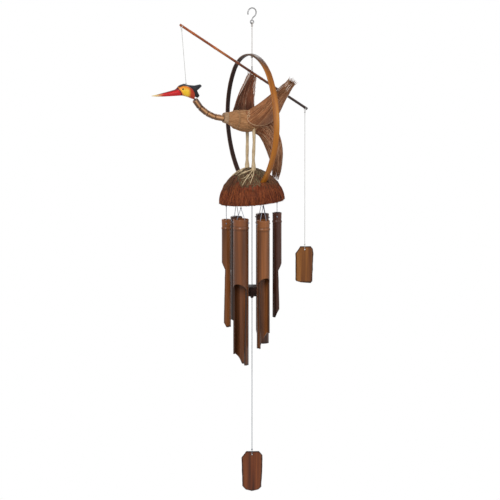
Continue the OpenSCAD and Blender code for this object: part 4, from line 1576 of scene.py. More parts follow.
@dataclass
class Bird:
    """Fibre body with its cuff and twine, wings, tail and twig legs."""

    kit: Kit
    cap: CoconutCap
    front: Triple = (-67.0, 0.0, -216.864)
    length: float = 108.0
    slope: float = 10.0
    front_r: float = 7.0
    swell: float = 14.5
    bead_gap: float = 2.2
    cuff_len: float = 8.0
    shoulder: float = 3.0
    twine_at: float = 0.27
    twine: float = 1.8
    tail_root: Triple = (24.5, 0.0, -240.0)
    tail_bend: Triple = (32.0, 2.0, -22.0)
    tail_tip: Triple = (37.0, 5.0, -96.0)
    tail_half_w: float = 19.0
    tail_half_t: float = 13.0
    tail_tip_half_t: float = 7.0
    tail_swell: float = 5.0
    tail_len: float = 96.0
    body_fibres: int = 420
    tail_fibres: int = 900
    leg_x: float = -3.5
    leg_y: float = 13.0
    leg_r: float = 3.3
    toe_len: float = 42.0
    toes: Pairs = ((-14.0, 0.78), (24.0, 1.0), (46.0, 0.85))

    def axis(self) -> Vector:
        """Direction of the body from its front to its tail."""
        slope = radians(self.slope)
        return Vector((cos(slope), 0, -sin(slope)))

    def spine(self, share: float) -> Vector:
        """A point of the body's axis."""
        return Vector(self.front) + self.axis() * (self.length * share)

    def girth(self, share: float) -> float:
        """Radius of the body at a share of its length."""
        return self.front_r + self.swell * abs(sin(pi * min(1.0, share) ** 0.95)) ** 1.6

    def skin(self, angle: float, share: float, lift: float = 0.0) -> Vector:
        """A point over the body.

        Args:
            angle: Turn round the axis from its near side, in radians.
            share: Place along the body.
            lift: Distance off the skin.

        Returns:
            The point.
        """
        axis = self.axis()
        side = -ASIDE
        up = side.cross(axis)
        reach = self.girth(share) + lift
        raise_by = self.shoulder * (1 - ease(0.0, 0.5, share)) * ease(-0.6, 0.6, sin(angle))
        round_it = side * cos(angle) + up * sin(angle)
        return self.spine(share) + UP * raise_by + reach * round_it

    def build(self) -> None:
        """Build every piece that is fixed to the body."""
        cloth = FibreFinish(
            "cuff_fibre", (132, 100, 72), (174, 142, 110), (202, 176, 146), (40.0, 1.5, 1.0), 0.35
        )
        self.body(cloth)
        self.cuff(cloth)
        self.tail()
        self.legs()
        self.wings()

    def body(self, cloth: Finish) -> None:
        """Build the spindle of sheath fibre.

        Args:
            cloth: The cuff's finish, which covers its front end.
        """
        chance = self.kit.chance
        rows = 48
        start = self.bead_gap / 2 / self.length

        def place(u: float, v: float) -> Vector:
            """A point of the spindle, closed at both ends.

            Args:
                u: Share of a turn.
                v: Share along the body.

            Returns:
                The point.
            """
            share, end = capped(v, rows)
            share = between(start, 1.0, share)
            if end:
                return self.spine(share)
            turn = tau * u
            lumps = 0.7 * noise.noise(Vector((3 * cos(turn), 3 * sin(turn), share * 5)))
            return self.skin(turn, share, lumps - 0.4)

        body = drape("body_sheath", 52, rows, place)
        for face in body.data.polygons:
            face.material_index = 1 if face.normal.dot(self.axis()) < -0.9 else 0
        smooth(body, 60)
        sheath = FibreFinish(
            "body_fibre", (136, 92, 58), (180, 130, 86), (208, 162, 118), (46.0, 2.2, 1.0), 0.35
        )
        hand_in(body, [sheath, cloth], "frame", "fibre", "bird_body")
        bundle = Strands("body_strands", 0.7)
        for _ in range(self.body_fibres):
            turn = chance.uniform(0, tau)
            first = chance.uniform(0.03, 0.7)
            last = min(0.97, first + chance.uniform(0.1, 0.35))
            drift = chance.gauss(0, 0.12)
            bundle.lay(
                [self.skin(turn + drift * s, between(first, last, s), 0.5 - 0.9 * (2 * s - 1) ** 4)
                 for s in FIBRE_STEPS],
                chance.uniform(0.5, 1.0), 0.5,
            )
        strand = StrandFinish("body_strand", (142, 98, 62), (184, 134, 90), (212, 168, 122))
        hand_in(bundle.make(), [strand], "frame", "fibre", "bird_body")

    def cuff(self, cloth: Finish) -> None:
        """Build the pale cuff at the neck and the twine round the body.

        Args:
            cloth: The cuff's finish.
        """
        start = self.bead_gap / 2

        def place(u: float, v: float) -> Vector:
            """A point of the cuff, wrapped from inside to outside.

            Args:
                u: Share of a turn.
                v: Share of the wrap.

            Returns:
                The point.
            """
            turn, lap = tau * u, tau * v
            share = (start + self.cuff_len * (0.5 - 0.5 * cos(lap))) / self.length
            fold = 0.25 * sin(9 * turn) + 0.2 * sin(23 * turn)
            return self.skin(turn, share, 0.2 + (1.3 + fold) * max(0.0, sin(lap)) ** 0.5)

        cuff = drape("neck_cuff", 64, 20, place)
        smooth(cuff, 60)
        hand_in(cuff, [cloth], "frame", "pale_twine", "neck_collar")
        twine = RopeWork("body_twine_wraps", self.twine)
        for step in (-0.5, 0.5):
            share = self.twine_at + step * self.twine / self.length
            ring = [self.skin(tau * i / 24, share, 0.8) for i in range(24)]
            twine.run(ring, closed=True)
        tawny = CordFinish("tan_twine", (184, 140, 96), (146, 102, 64))
        hand_in(twine.make(), [tawny], "frame", "pale_twine", "body_twine")

    def tail_at(self, angle: float, share: float, lift: float = 0.0) -> Vector:
        """A point over the tail.

        Args:
            angle: Turn round its section, in radians.
            share: Place from root to tip; below 0 it lies in the body, past 1 it runs on down.
            lift: Distance off its skin.

        Returns:
            The point.
        """
        t, inside = clamp(share), max(0.0, -share)
        lean = radians(between(40, 90, t) - 120 * inside)
        across = Vector((sin(lean), 0, cos(lean)))
        fill = between(0.72, 1.0, sin(pi * t**1.3))
        wide = self.tail_half_w * fill * (1 - 0.35 * t**4) + lift
        thick = between(self.tail_half_t, self.tail_tip_half_t, t * t)
        thick += self.tail_swell * sin(pi * t**0.8) + 3.0 * exp(-((share / 0.25) ** 2)) + lift
        middle = Vector(self.tail_root) + bend(Vector(), Vector(self.tail_bend), Vector(self.tail_tip), t)
        middle -= self.axis() * (inside * self.tail_len)
        if share > 1:
            middle += Vector((-0.35, 0.0, -1.0)) * (share - 1) * self.tail_len
        thick += 5.5 * exp(-(((share - 0.13) / 0.16) ** 2)) * max(0.0, sin(angle))
        return middle + ASIDE * wide * cos(angle) + across * thick * sin(angle)

    def tail(self) -> None:
        """Build the drooping tail and its loose strands."""
        chance = self.kit.chance
        rows = 44

        def place(u: float, v: float) -> Vector:
            """A point of the bunched tail, closed at both ends.

            Args:
                u: Share of a turn.
                v: Share along the tail.

            Returns:
                The point.
            """
            share, end = capped(v, rows)
            share = between(-0.24, 1.0, share)
            turn = tau * u
            if end:
                return between(self.tail_at(0, share), self.tail_at(pi, share), 0.5)
            groove = 1.6 * noise.noise(Vector((4 * cos(turn), 4 * sin(turn), share * 2)))
            return self.tail_at(turn, share * 0.97, groove - 1.2)

        tail = drape("tail_bunch", 60, rows, place)
        smooth(tail, 60)
        sheath = FibreFinish(
            "tail_fibre", (84, 46, 26), (140, 88, 54), (186, 136, 98), (70.0, 2.5, 1.0), 0.7
        )
        hand_in(tail, [sheath], "frame", "fibre", "tail")
        bundle = Strands("tail_strands", 0.95)
        for _ in range(self.tail_fibres):
            turn = chance.uniform(0, tau)
            first = chance.uniform(-0.2, 0.6)
            last = chance.choice((min(1.0, first + chance.uniform(0.3, 0.55)), chance.uniform(0.92, 1.16)))
            lift = chance.uniform(-1.0, 1.0)
            drift = chance.gauss(0, 0.12)
            bundle.lay(
                [self.tail_at(turn + drift * s, between(first, last, s), lift - 1.2 * s * s)
                 for s in (0.0, 0.2, 0.4, 0.6, 0.8, 1.0)],
                chance.uniform(0.5, 1.2),
            )
        strand = StrandFinish("tail_strand", (92, 50, 30), (150, 96, 62), (206, 166, 132))
        hand_in(bundle.make(), [strand], "frame", "fibre", "tail")

    def legs(self) -> None:
        """Build both twig legs with their root-like toes."""
        cap = self.cap
        for side in Side:
            y = self.leg_y * side.value
            foot_z = cap.rim_z + cap.dome(hypot(self.leg_x, y))
            body_z = self.spine((self.leg_x - self.front[0]) / (self.length * self.axis().x)).z
            top = Vector((self.leg_x, y, body_z - 8))
            foot = Vector((self.leg_x, y, foot_z - 3))
            sway = Vector((0.5, 0.4 * side.value, 0))
            parts = [sweep(
                "leg", [top, between(top, foot, 0.35) + sway, between(top, foot, 0.7) - sway, foot],
                lambda s: self.leg_r * (0.9 + 0.12 * sin(9 * s) ** 2 + 0.35 * ease(0.72, 0.86, s)),
                16, 30, Vector((1, 0, 0)),
            )]
            parts += self.foot(Vector((self.leg_x, y, foot_z)), side)
            leg = merge(f"{side.name.lower()}_twig", parts)
            roughen(leg, 0.5, 5)
            smooth(leg, 60)
            hand_in(leg, [Finishes.twig], "frame", "twig", f"{side.name.lower()}_leg")

    def foot(self, at: Vector, side: Side) -> list[Object]:
        """The toes of one foot, each with a thin side root.

        Args:
            at: Where the leg meets the coconut.
            side: Which leg it is.

        Returns:
            The toes.
        """
        cap = self.cap
        start = cap.upright(at)
        parts = []
        for fan, size in self.toes:
            way = radians(180 - side.value * fan)
            long = self.toe_len * size
            toe = (way, 0.0, long, 1.7)
            side_root = (way + 0.6 * side.value, 0.5, long * 0.34, 0.9)
            for turn, first, reach, r0 in (toe, side_root):
                row = []
                for s in FIBRE_STEPS:
                    x = start.x + cos(way) * first * long + cos(turn) * reach * s
                    y = start.y + sin(way) * first * long + sin(turn) * reach * s
                    bow = 3.0 * sin(pi * s)
                    x, y = x - bow * sin(turn), y + bow * cos(turn)
                    row.append(cap.standing(Vector((x, y, cap.dome(hypot(x, y)) + 1.5 - 0.5 * s))))
                parts.append(sweep(
                    "toe", row, lambda s, r0=r0: r0 * between(1.0, 0.4, s) * (1 + 0.12 * sin(14 * s)),
                    10, 18, UP,
                ))
        return parts

    def wings(self) -> None:
        """Build both wings and the stitches that hold them."""
        near = Wing(
            self.kit, Side.LEFT, "left_wing",
            FibreFinish("near_wing_fibre", (94, 52, 30), (154, 98, 60), (200, 148, 104),
                        (64.0, 2.2, 1.0), 0.6),
            StrandFinish("near_wing_strand", (104, 60, 36), (158, 102, 64), (210, 164, 122)),
            root=((-19, -10, -205), (-23, -20.5, -224), (-8.5, -22.5, -234), (16.7, -17, -236),
                  (39.3, -13, -230)),
            tip=((53, -52, -143), (60, -56, -146.5), (64, -57, -152)),
            front=((-1.2, -27, -189.7), (22, -42, -168)),
            rear=((45, -30, -211), (50.2, -45, -185)),
            belly=5.0, tip_dark=0.4, fringe=36, fringe_w=0.6, fringe_from=0.7,
        )
        far = Wing(
            self.kit, Side.RIGHT, "right_wing",
            # darker copies of the near wing's finishes: painted shade on the far wing
            FibreFinish("far_wing_fibre", (50, 24, 14), (112, 60, 34), (166, 112, 78),
                        (64.0, 2.2, 1.0), 0.6),
            StrandFinish("far_wing_strand", (60, 30, 18), (124, 70, 42), (196, 160, 132)),
            root=((-37, 12, -209), (-22, 20, -216), (0, 21.5, -223), (17, 17, -228)),
            tip=((21, 52, -141), (32, 56, -142), (42, 57, -149)),
            front=((-18, 26, -181), (1, 39, -163)),
            rear=((20, 27, -194), (30, 42, -172)),
            # painted shade at the base of the far wing, next to the body
            belly=4.0, base_dark=0.5, fringe=260,
        )
        near.build()
        far.build()
        stitch = RopeWork("wing_stitches", 1.2)
        for wing in (near, far):
            stitch.run([wing.at(0.12 + 0.86 * i / 24, 0.035, 2.1 if i % 2 else 1.1) for i in range(25)])
            stitch.run([wing.at(0.02 + 0.03 * i, 0.05 + (0.07 if i % 2 else 0.0), 1.6) for i in range(7)])
        pale = CordFinish("stitch_thread", (226, 196, 158), (186, 150, 112))
        hand_in(stitch.make(), [pale], "frame", "pale_twine")


@dataclass
class Neck:
    """Bamboo beads on a cord, from the body up to the head."""

    kit: Kit
    beads: int = 4
    pitch: float = 20.0
    diameter: float = 12.6
    gap: float = 2.2
    close: float = 0.22
    rise: float = 12.5
    turn: float = 13.5
    # turns of the beads, which bring a painted highlight streak of each towards the camera
    spins: Numbers = (0.1, -0.05, -0.15, -0.3)

    def streak(self, point: Vector) -> float:
        """How pale the skin is: four painted highlight streaks along the bead, with painted shade between
        them.
        """
        return 0.5 + 0.5 * cos(4 * atan2(point.y, point.x))

    def build(self) -> None:
        """Turn one bead, copy it along the neck, and dress the cord in it."""
        nodes = self.kit.nodes
        r, length = self.diameter / 2, self.pitch - self.gap + 2 * self.close
        first = lathe(
            "bead_blank",
            [(r * 0.4, 0.5), (r * 0.5, 0.1), (r - 1.1, 0.0), (r - 0.45, 0.3), (r - 0.1, 0.9), (r, 2.4),
             (r, length - 2.4), (r - 0.1, length - 0.9), (r - 0.45, length - 0.3), (r - 1.1, length),
             (r * 0.5, length - 0.1), (r * 0.4, length - 0.5)],
            40, Vector(),
        )
        roughen(first, 0.25, 7)
        smooth(first, 50)
        # painted highlight streaks down the beads and painted shade on their flanks
        mark(first, "bloom_and_highlight", lambda p: 0.9 * self.streak(p) ** 6)
        mark(first, "scorch", lambda p: 0.55 * (1 - self.streak(p)))
        for i in range(self.beads):
            rise = radians(self.rise + self.turn * i)
            way = Vector((-cos(rise), 0, sin(rise)))
            at = (self.kit.at(f"neck_bend_{i + 1}") + way * (self.gap / 2 - self.close)) * MM
            spin = Matrix.Rotation(self.spins[i], 4, "Z")
            move = Matrix.Translation(at) @ UP.rotation_difference(way).to_matrix().to_4x4() @ spin
            bead = copy(first, f"bead_{i + 1}", move)
            hand_in(bead, [Finishes.bead], f"neck_{i + 1}", "bead_bamboo", f"neck_bead_{i + 1}")
            redress(nodes[f"neck_cord_{i + 1}"], Finishes.dark_cord)
        bpy.data.objects.remove(first)
        redress(nodes["neck_cord_root"], Finishes.dark_cord)
        redress(nodes["neck_cord_head"], Finishes.dark_cord)


@dataclass
class Head:
    """Carved and painted head with its long bill, crest, eyes and thread peg."""

    stations: Sequence[Numbers] = (
        (-231.0, -160.6, -161.6, 0.5), (-220.0, -159.3, -163.2, 2.0), (-205.0, -156.8, -164.0, 3.4),
        (-190.0, -154.2, -164.4, 4.6), (-176.0, -151.6, -164.6, 5.8), (-172.5, -149.2, -164.7, 6.6),
        (-168.0, -144.5, -164.7, 8.2), (-162.0, -142.4, -164.9, 9.2), (-154.0, -143.2, -167.0, 9.5),
        (-147.0, -146.0, -169.4, 9.3), (-140.0, -150.0, -172.2, 8.0), (-134.2, -158.5, -174.6, 5.6),
    )
    crest: Pairs = (
        (-166.0, -144.0), (-157.0, -141.2), (-147.0, -144.4), (-133.0, -146.6), (-119.1, -145.0),
        (-116.1, -148.6), (-121.0, -152.6), (-127.2, -157.0), (-121.4, -168.0), (-125.8, -172.0),
        (-134.0, -168.0), (-142.0, -158.0), (-150.0, -148.5),
    )
    crest_t: float = 5.0
    eye: Triple = (-163.4, 8.7, -151.2)
    eye_r: float = 2.1
    peg: Triple = (-151.97, 0.0, -148.8)
    peg_h: float = 5.8

    def colour_at(self, point: Vector) -> Colour:
        """The paint at a place on the skull and bill.

        Args:
            point: The place in millimetres.

        Returns:
            The colour.
        """
        top, low, _ = read_off(self.stations, point.x)
        high = (point.z - low) / max(0.5, top - low)
        base_x = between(-163.5, -172.3, clamp((point.z + 164.7) / 14.2))
        red, cream = Vector(srgb(196, 26, 30)), Vector(srgb(222, 196, 132))
        black, yellow = Vector(srgb(24, 20, 24)), Vector(srgb(236, 190, 44))
        orange, deep = Vector(srgb(226, 112, 34)), Vector(srgb(170, 30, 22))
        past = point.x - base_x
        if past < 0:
            tone = between(cream, red, ease(-224, -203, point.x))
            ridge = 0.75 * ease(0.8, 0.96, high) * ease(-226, -214, point.x)
            tone = between(tone, Vector(srgb(70, 18, 16)), ridge)
            mouth = 0.75 * (1 - ease(0.0, 0.05, abs(high - 0.42))) * ease(-218, -205, point.x)
            tone = between(tone, black, mouth)
            return tuple(between(tone, black, ease(-1.6, -0.4, past)))
        tone = between(yellow, orange, max(1 - ease(1.0, 6.0, past), 0.8 * ease(0.55, 0.85, high)))
        tone = between(tone, deep, ease(-153, -144, point.x) * 0.95)
        tone = between(tone, black, ease(0.84, 0.93, high) * ease(-172, -168, point.x))
        tone = between(tone, black, 1 - ease(0.6, 1.5, past))
        return tuple(tone)

    def build(self) -> None:
        """Carve, crest and paint the head."""
        rows = 64

        def place(u: float, v: float) -> Vector:
            """A point of the carved skull and bill, closed at both ends.

            Args:
                u: Share of a turn.
                v: Share from the bill to the nape.

            Returns:
                The point.
            """
            share, end = capped(v, rows)
            x = between(self.stations[0][0], self.stations[-1][0], share)
            top, low, half = read_off(self.stations, x)
            turn = tau * u
            if end:
                return Vector((x, 0, (top + low) / 2))
            c, s = cos(turn), sin(turn)
            return Vector((
                x, half * copysign(abs(c) ** 0.9, c),
                (top + low) / 2 + (top - low) / 2 * copysign(abs(s) ** 0.9, s),
            ))

        skull = drape("carved_head", 40, rows, place)
        modify(skull, "SUBSURF", levels=1, render_levels=1)
        crest = plate("crest", self.crest, self.crest_t)
        modify(crest, "BEVEL", width=1.5 * MM, segments=3, limit_method="ANGLE")
        turned = [(1.3, 0), (1.6, 0.8), (1.5, 4.4), (1.7, 5.0), (1.2, self.peg_h)]
        peg = lathe("thread_peg", turned, 20, Vector(self.peg))
        x, y, z = self.eye
        r = self.eye_r
        pupil = [(r, 0), (r * 0.92, 0.7), (r * 0.6, 1.2), (r * 0.2, 1.4)]
        eyes = []
        for side in Side:
            at = Vector((x, (y - 0.8) * side.value, z))
            eyes.append(lathe("eye", pupil, 24, at, ASIDE * side.value))
        self.coat(skull, self.colour_at)
        # the upper spike's navy tone is a painted bluish highlight over the black paint
        self.coat(crest, lambda p: srgb(9, 11, 24) if p.z > -156 else srgb(8, 7, 10))
        self.coat(peg, lambda p: srgb(40, 30, 28))
        for eye in eyes:
            self.coat(eye, lambda p: srgb(12, 10, 12))
        head = merge("painted_head", [skull, crest, peg, *eyes])
        smooth(head, 45)
        hand_in(head, [Finishes.paint], "bird_head", "painted_wood", "head")

    @staticmethod
    def coat(obj: Object, colour: Callable[[Vector], Colour]) -> None:
        """Paint each point of a part by its place in millimetres."""
        layer = obj.data.color_attributes.new(Finishes.paint.layer, "FLOAT_COLOR", "POINT")
        layer.data.foreach_set("color", [c for v in obj.data.vertices for c in colour(v.co / MM)])


@dataclass
class Slat:
    """A curved slat of bamboo with scorched edges, hung by a hole."""

    name: str
    node: str
    width: float
    height: float
    outline: Pairs
    thick: float = 4.4
    culm_r: float = 70.0
    facing: float = -30.0
    hole_drop: float = 6.6
    hole_r: float = 1.3
    ring_r: float = 4.4

    def limits(self, drop: float) -> tuple[float, float]:
        """Both edges of the outline at a depth.

        Args:
            drop: Depth below its top.

        Returns:
            The left and the right edge.
        """
        corners = [(x * self.width, -y * self.height) for x, y in self.outline]
        found = []
        for (x0, y0), (x1, y1) in zip(corners, corners[1:] + corners[:1]):
            if min(y0, y1) - 1e-6 <= drop <= max(y0, y1) + 1e-6 and abs(y1 - y0) > 1e-6:
                found.append(between(x0, x1, (drop - y0) / (y1 - y0)))
        return min(found), max(found)

    def build(self, top: Vector, finish: Finish, body: str, slot: str) -> None:
        """Split, pierce and dress the slat.

        Args:
            top: The middle of its top edge.
            finish: Its finish.
            body: The body that it moves with.
            slot: The record's material slot.
        """
        turn = Matrix.Rotation(radians(self.facing), 3, "Z")
        mid_r = self.culm_r - self.thick / 2

        def place(u: float, v: float) -> Vector:
            """A point of the slat's middle sheet.

            Args:
                u: Share across the slat.
                v: Share down it.

            Returns:
                The point.
            """
            drop = between(0.02, self.height - 0.02, v)
            left, right = self.limits(drop)
            uneven = 0.5 * noise.noise(Vector((u * 3, v * 7, self.width)))
            x = between(left, right, u) + uneven * (2 * u - 1)
            return top + turn @ Vector((x, mid_r - sqrt(mid_r**2 - x * x), -drop))

        slat = drape(self.name, 36, 70, place)
        modify(slat, "SOLIDIFY", thickness=self.thick * MM, offset=0.0)
        modify(slat, "BEVEL", width=0.7 * MM, segments=2, limit_method="ANGLE", angle_limit=radians(50))
        hole = top - UP * self.hole_drop
        drill = lathe("drill", [(self.hole_r, -20.0), (self.hole_r, 20.0)], 24, hole, turn @ ASIDE)
        modify(slat, "BOOLEAN", operation="DIFFERENCE", object=drill, solver="EXACT")
        bpy.data.objects.remove(drill)
        smooth(slat, 40)

        def scorch(point: Vector) -> float:
            """How burnt a place is, from its distance to the edges.

            Args:
                point: The place in millimetres.

            Returns:
                How burnt, 0 to 1.
            """
            local = turn.inverted() @ (point - top)
            drop = min(self.height - 0.05, max(0.05, -local.z))
            left, right = self.limits(drop)
            near = min(local.x - left, right - local.x, drop, self.height - drop)
            uneven = 1.2 * noise.noise(point * 0.2)
            burn = 1 - ease(0.2, 3.4 + uneven, near)
            return min(0.92, max(burn, 0.8 * (1 - ease(2.0, 3.4, (point - hole).length))))

        mark(slat, "scorch", scorch)
        hand_in(slat, [finish], body, slot, self.node)

    def hang(
        self, line: str, start: Vector, top: Vector, cord: float, finish: Finish, slot: str, node: str,
    ) -> None:
        """Build the cord that the slat hangs by, with the ring through its hole.

        Args:
            line: The cord's body, which starts the pieces' names.
            start: Where the cord starts.
            top: The middle of the slat's top edge.
            cord: Diameter of the cord.
            finish: Its finish.
            slot: The record's material slot.
            node: The solid that it replaces.
        """
        middle = top - UP * (self.hole_drop - self.ring_r)
        crest = middle + UP * self.ring_r
        rope = RopeWork(line + "_cord", cord)
        tie_down(rope, [start, crest + UP * cord], finish, line, slot, "hanging", node)
        ring = RopeWork(line + "_ring", cord)
        way = radians(self.facing - 90)
        face = Vector((cos(way), sin(way), 0))
        ring.run(circle(middle, self.ring_r, face, UP), closed=True)
        ring.knot(crest + UP * cord, 2.6 * cord, 0.5)
        hand_in(ring.make(), [finish], line, slot, node)


@dataclass
class BalanceRod:
    """Thin bamboo rod with its front thread, back loop, flag thread and flag."""

    kit: Kit
    gear: HangingGear
    front: float = 197.0
    back: float = 152.0
    radius: float = 2.75
    slope: float = 32.8
    flag_drop: float = 282.0
    thread_end: Triple = (-151.97, 0.0, -140.92)
    joints: Numbers = (38.0, 96.0, 158.0, 223.0, 292.0)

    def build(self) -> None:
        """Build the rod and what hangs from it."""
        pivot = self.kit.at("rod_tilt")
        slope = radians(self.slope)
        way = Vector((cos(slope), 0, -sin(slope)))
        length, r = self.front + self.back, self.radius
        profile = [(r - 0.7, 0.0), (r - 0.2, 0.5)]
        for at in self.joints:
            profile += [(r - 0.12, at - 9), (r, at - 1.6), (r + 0.3, at - 0.5)]
            profile += [(r + 0.3, at + 0.4), (r - 0.1, at + 1.8)]
        profile += [(r - 0.05, length - 0.5), (r - 0.6, length)]
        rod = lathe("rod_cane", profile, 24, pivot - way * self.front, way)
        mark(rod, "scorch", self.scorch)
        smooth(rod, 50)
        cane = BambooFinish(
            "rod_cane", (108, 48, 18), (162, 80, 32), (188, 108, 50), fine=(60.0, 700.0, 90.0),
            broad=(22.0, 160.0, 40.0), rough=0.32, coat=0.15,
        )
        hand_in(rod, [cane], "rod", "rod_bamboo", "balance_rod")
        self.head_thread()
        self.flag()

    def scorch(self, point: Vector) -> float:
        """How dark the flame left a place: the back half and the front tip."""
        back = 0.5 * ease(-64, -40, point.x) + 0.45 * ease(-10, 80, point.x)
        return back + 0.2 * (1 - ease(-165, -150, point.x))

    def head_thread(self) -> None:
        """Build the thread from the rod's front tip to the bird's head."""
        gear, thread = self.gear, Finishes.thread
        hole = self.kit.at("head_thread_swing")
        end = Vector(self.thread_end)
        meet = hole + (end - hole).normalized() * gear.loop_len
        rope = RopeWork("head_line_thread", gear.thread)
        tie_down(rope, [meet, end], thread, "head_line", "pale_twine", "taut", "head_thread")
        loop = gear.sling("head_line_loop", hole, meet)
        hand_in(loop, [thread], "head_line", "pale_twine", "head_thread")
        foot = RopeWork("head_line_knot", gear.thread)
        foot.knot(end, gear.thread_knot)
        hand_in(foot.make(), [thread], "head_line", "pale_twine", "head_thread")

    def flag(self) -> None:
        """Build the back loop, the long thread and the flag."""
        gear = self.gear
        hole = self.kit.at("rod_loop_swing")
        loop = gear.sling("flag_loop", hole, hole - UP * gear.loop_len)
        hand_in(loop, [Finishes.thread], "rod_loop", "pale_twine", "tail_tie")
        top = hole - UP * self.flag_drop
        start = hole - UP * (gear.loop_len + gear.thread_knot / 2 + gear.gap)
        finish = BambooFinish(
            "flag_bamboo", (84, 42, 14), (132, 80, 32), (166, 110, 54), rough=0.42, coat=0.12
        )
        slat = Slat(
            "flag_slat", "wind_flag", 35.0, 73.0,
            ((-0.52, -0.2), (-0.26, 0), (0.34, 0), (0.46, -0.07), (0.48, -0.2), (0.42, -0.98), (0.36, -1),
             (-0.46, -0.98), (-0.52, -0.94)),
        )
        slat.hang("flag_line", start, top, gear.thread, Finishes.thread, "pale_twine", "flag_thread")
        slat.build(top, finish, "flag", "flag_bamboo")


@dataclass
class TubeSet:
    """Six chime tubes, scooped open below and cut to slanted tips, with their forked ties."""

    kit: Kit
    angles: Numbers = (150, 97, 215, 267, 35, 330)
    diameters: Numbers = (17, 22, 31, 26, 26, 18)
    lengths: Numbers = (218, 236, 295, 259, 263, 212)
    scoops: Numbers = (87, 98, 130, 116, 115, 103)
    tip_sides: Numbers = (0, 90, -90, 90, 90, 0)
    tip_levels: Numbers = (0, -0.25, 0.25, -0.25, -0.25, -0.5)
    scoop_rises: Numbers = (14, 10, 13, 11, 11, 14)
    scoop_face: float = 0.3
    scoop_end: float = 0.6
    wall: float = 3.0
    groove_drop: float = 14.5
    node_drop: float = 18.0
    hole_drop: float = 7.0
    tie: float = 1.4
    tie_knot: float = 4.2
    apex_drop: float = 15.0
    stop_knot: float = 3.2
    tip_slope: float = 62.0
    tip_rows: int = 14
    top_steps: Numbers = (0, 0.5, 1.6, 4, 8, 11.5, 13, 14, 15, 16, 17, 18, 19, 20.5, 22, 24, 28)
    full: Numbers = (0.45, 0.7, 0, 0, 0, 0)
    # tones of the tubes; the back tubes 2, 5 and 6 are darker, partly their own browning and partly
    # painted shade
    tones: Sequence[Tone] = (
        (120, 70, 33), (68, 36, 19), (104, 60, 31), (112, 66, 33), (76, 42, 24), (72, 38, 24)
    )

    def build(self) -> None:
        """Build every tube and its tie."""
        for k in range(len(self.angles)):
            holes = self.kit.at(f"tube_swing_{k + 1}")
            self.tube(k, holes + UP * self.hole_drop)
            self.forked_tie(k, self.kit.at(f"tie_swing_{k + 1}"), holes)

    def tube(self, k: int, top: Vector) -> None:
        """Build one tube.

        Args:
            k: Its number from 0.
            top: The middle of its upper end.
        """
        r, length, scoop = self.diameters[k] / 2, self.lengths[k], self.scoops[k]
        shoulder, rise = self.scoop_rises[k], tan(radians(self.tip_slope))
        turn = Matrix.Rotation(radians(self.angles[k]), 3, "Z")
        lean = radians(self.tip_sides[k])
        level = self.tip_levels[k] * r
        tip_top = -length + (r - level) * rise + 2
        steps = [-drop for drop in self.top_steps]
        steps += [between(-self.top_steps[-1], -scoop, i / 8) for i in range(1, 9)]
        steps += [between(-scoop, -scoop - shoulder, i / 14) for i in range(1, 15)]
        steps += [between(-scoop - shoulder, tip_top, i / 10) for i in range(1, 11)]
        rows = len(steps) - 1 + self.tip_rows

        def relief(z: float) -> float:
            """The lip, the groove and the node ridge of the culm.

            Args:
                z: Height from the upper end.

            Returns:
                How far they stand out.
            """
            lip = 0.35 * (1 - ease(1.0, 6.0, -z)) - 0.5 * (1 - ease(0.0, 0.8, -z))
            groove = -0.35 * exp(-(((z + self.groove_drop) / 1.1) ** 2))
            ridge = 0.95 * exp(-(((z + self.node_drop) / 1.7) ** 2))
            return lip + groove + ridge

        def opening(z: float) -> float:
            """Half angle of the wall that is left at a height, from the inner side.

            Args:
                z: Height from the upper end.

            Returns:
                The angle in radians.
            """
            share = clamp((-z - scoop) / shoulder)
            past = max(0.0, (-z - scoop - shoulder) / (length - scoop - shoulder))
            face = between(self.scoop_face, self.scoop_end, min(1.0, past))
            cut_at = r * (1 - (1 - face) * share)
            return acos(max(-1.0, min(1.0, -cut_at / r)))

        def place(u: float, v: float) -> Vector:
            """A point of the wall's outer face.

            Args:
                u: Share across the wall.
                v: Share down the tube.

            Returns:
                The point.
            """
            row = round(v * rows)
            z = steps[min(row, len(steps) - 1)]
            half = opening(z)
            uneven = 0.05 * noise.noise(Vector((z * 0.07, k, u > 0.5))) if half < 3.1 else 0.0
            a = (2 * u - 1) * (half + uneven)
            reach = r + relief(z) + self.full[k]
            x, y = -reach * cos(a), reach * sin(a)
            if row >= len(steps):
                along = x * cos(lean) + y * sin(lean)
                if a * sin(lean) > pi / 2:
                    along = reach
                end = -length + max(0.0, along - level) * rise + 1.5 * noise.noise(Vector((a * 2, k, 9)))
                end = min(end, tip_top - 1)
                z = between(tip_top, max(end, -length), (row - len(steps) + 1) / self.tip_rows)
            oval = 1 + 0.02 * cos(2 * a + k)
            return top + turn @ Vector((x * oval, y, z))

        tube = drape(f"tube_{k + 1}_wall", 48, rows, place)
        face_out(tube, lambda at: Vector((top.x * MM, top.y * MM, at.z)))
        modify(
            tube, "SOLIDIFY", thickness=self.wall * MM, offset=-1.0, use_even_offset=True,
            material_offset=1, material_offset_rim=1,
        )
        modify(tube, "BEVEL", width=0.5 * MM, segments=2, limit_method="ANGLE", angle_limit=radians(60))
        bore = r - self.wall + 0.3
        floor = lathe("septum", [(bore, -1.5), (bore, 1.5)], 40, top - UP * self.node_drop)
        for face in floor.data.polygons:
            face.material_index = 1
        tube = merge(f"tube_{k + 1}_culm", [tube, floor])

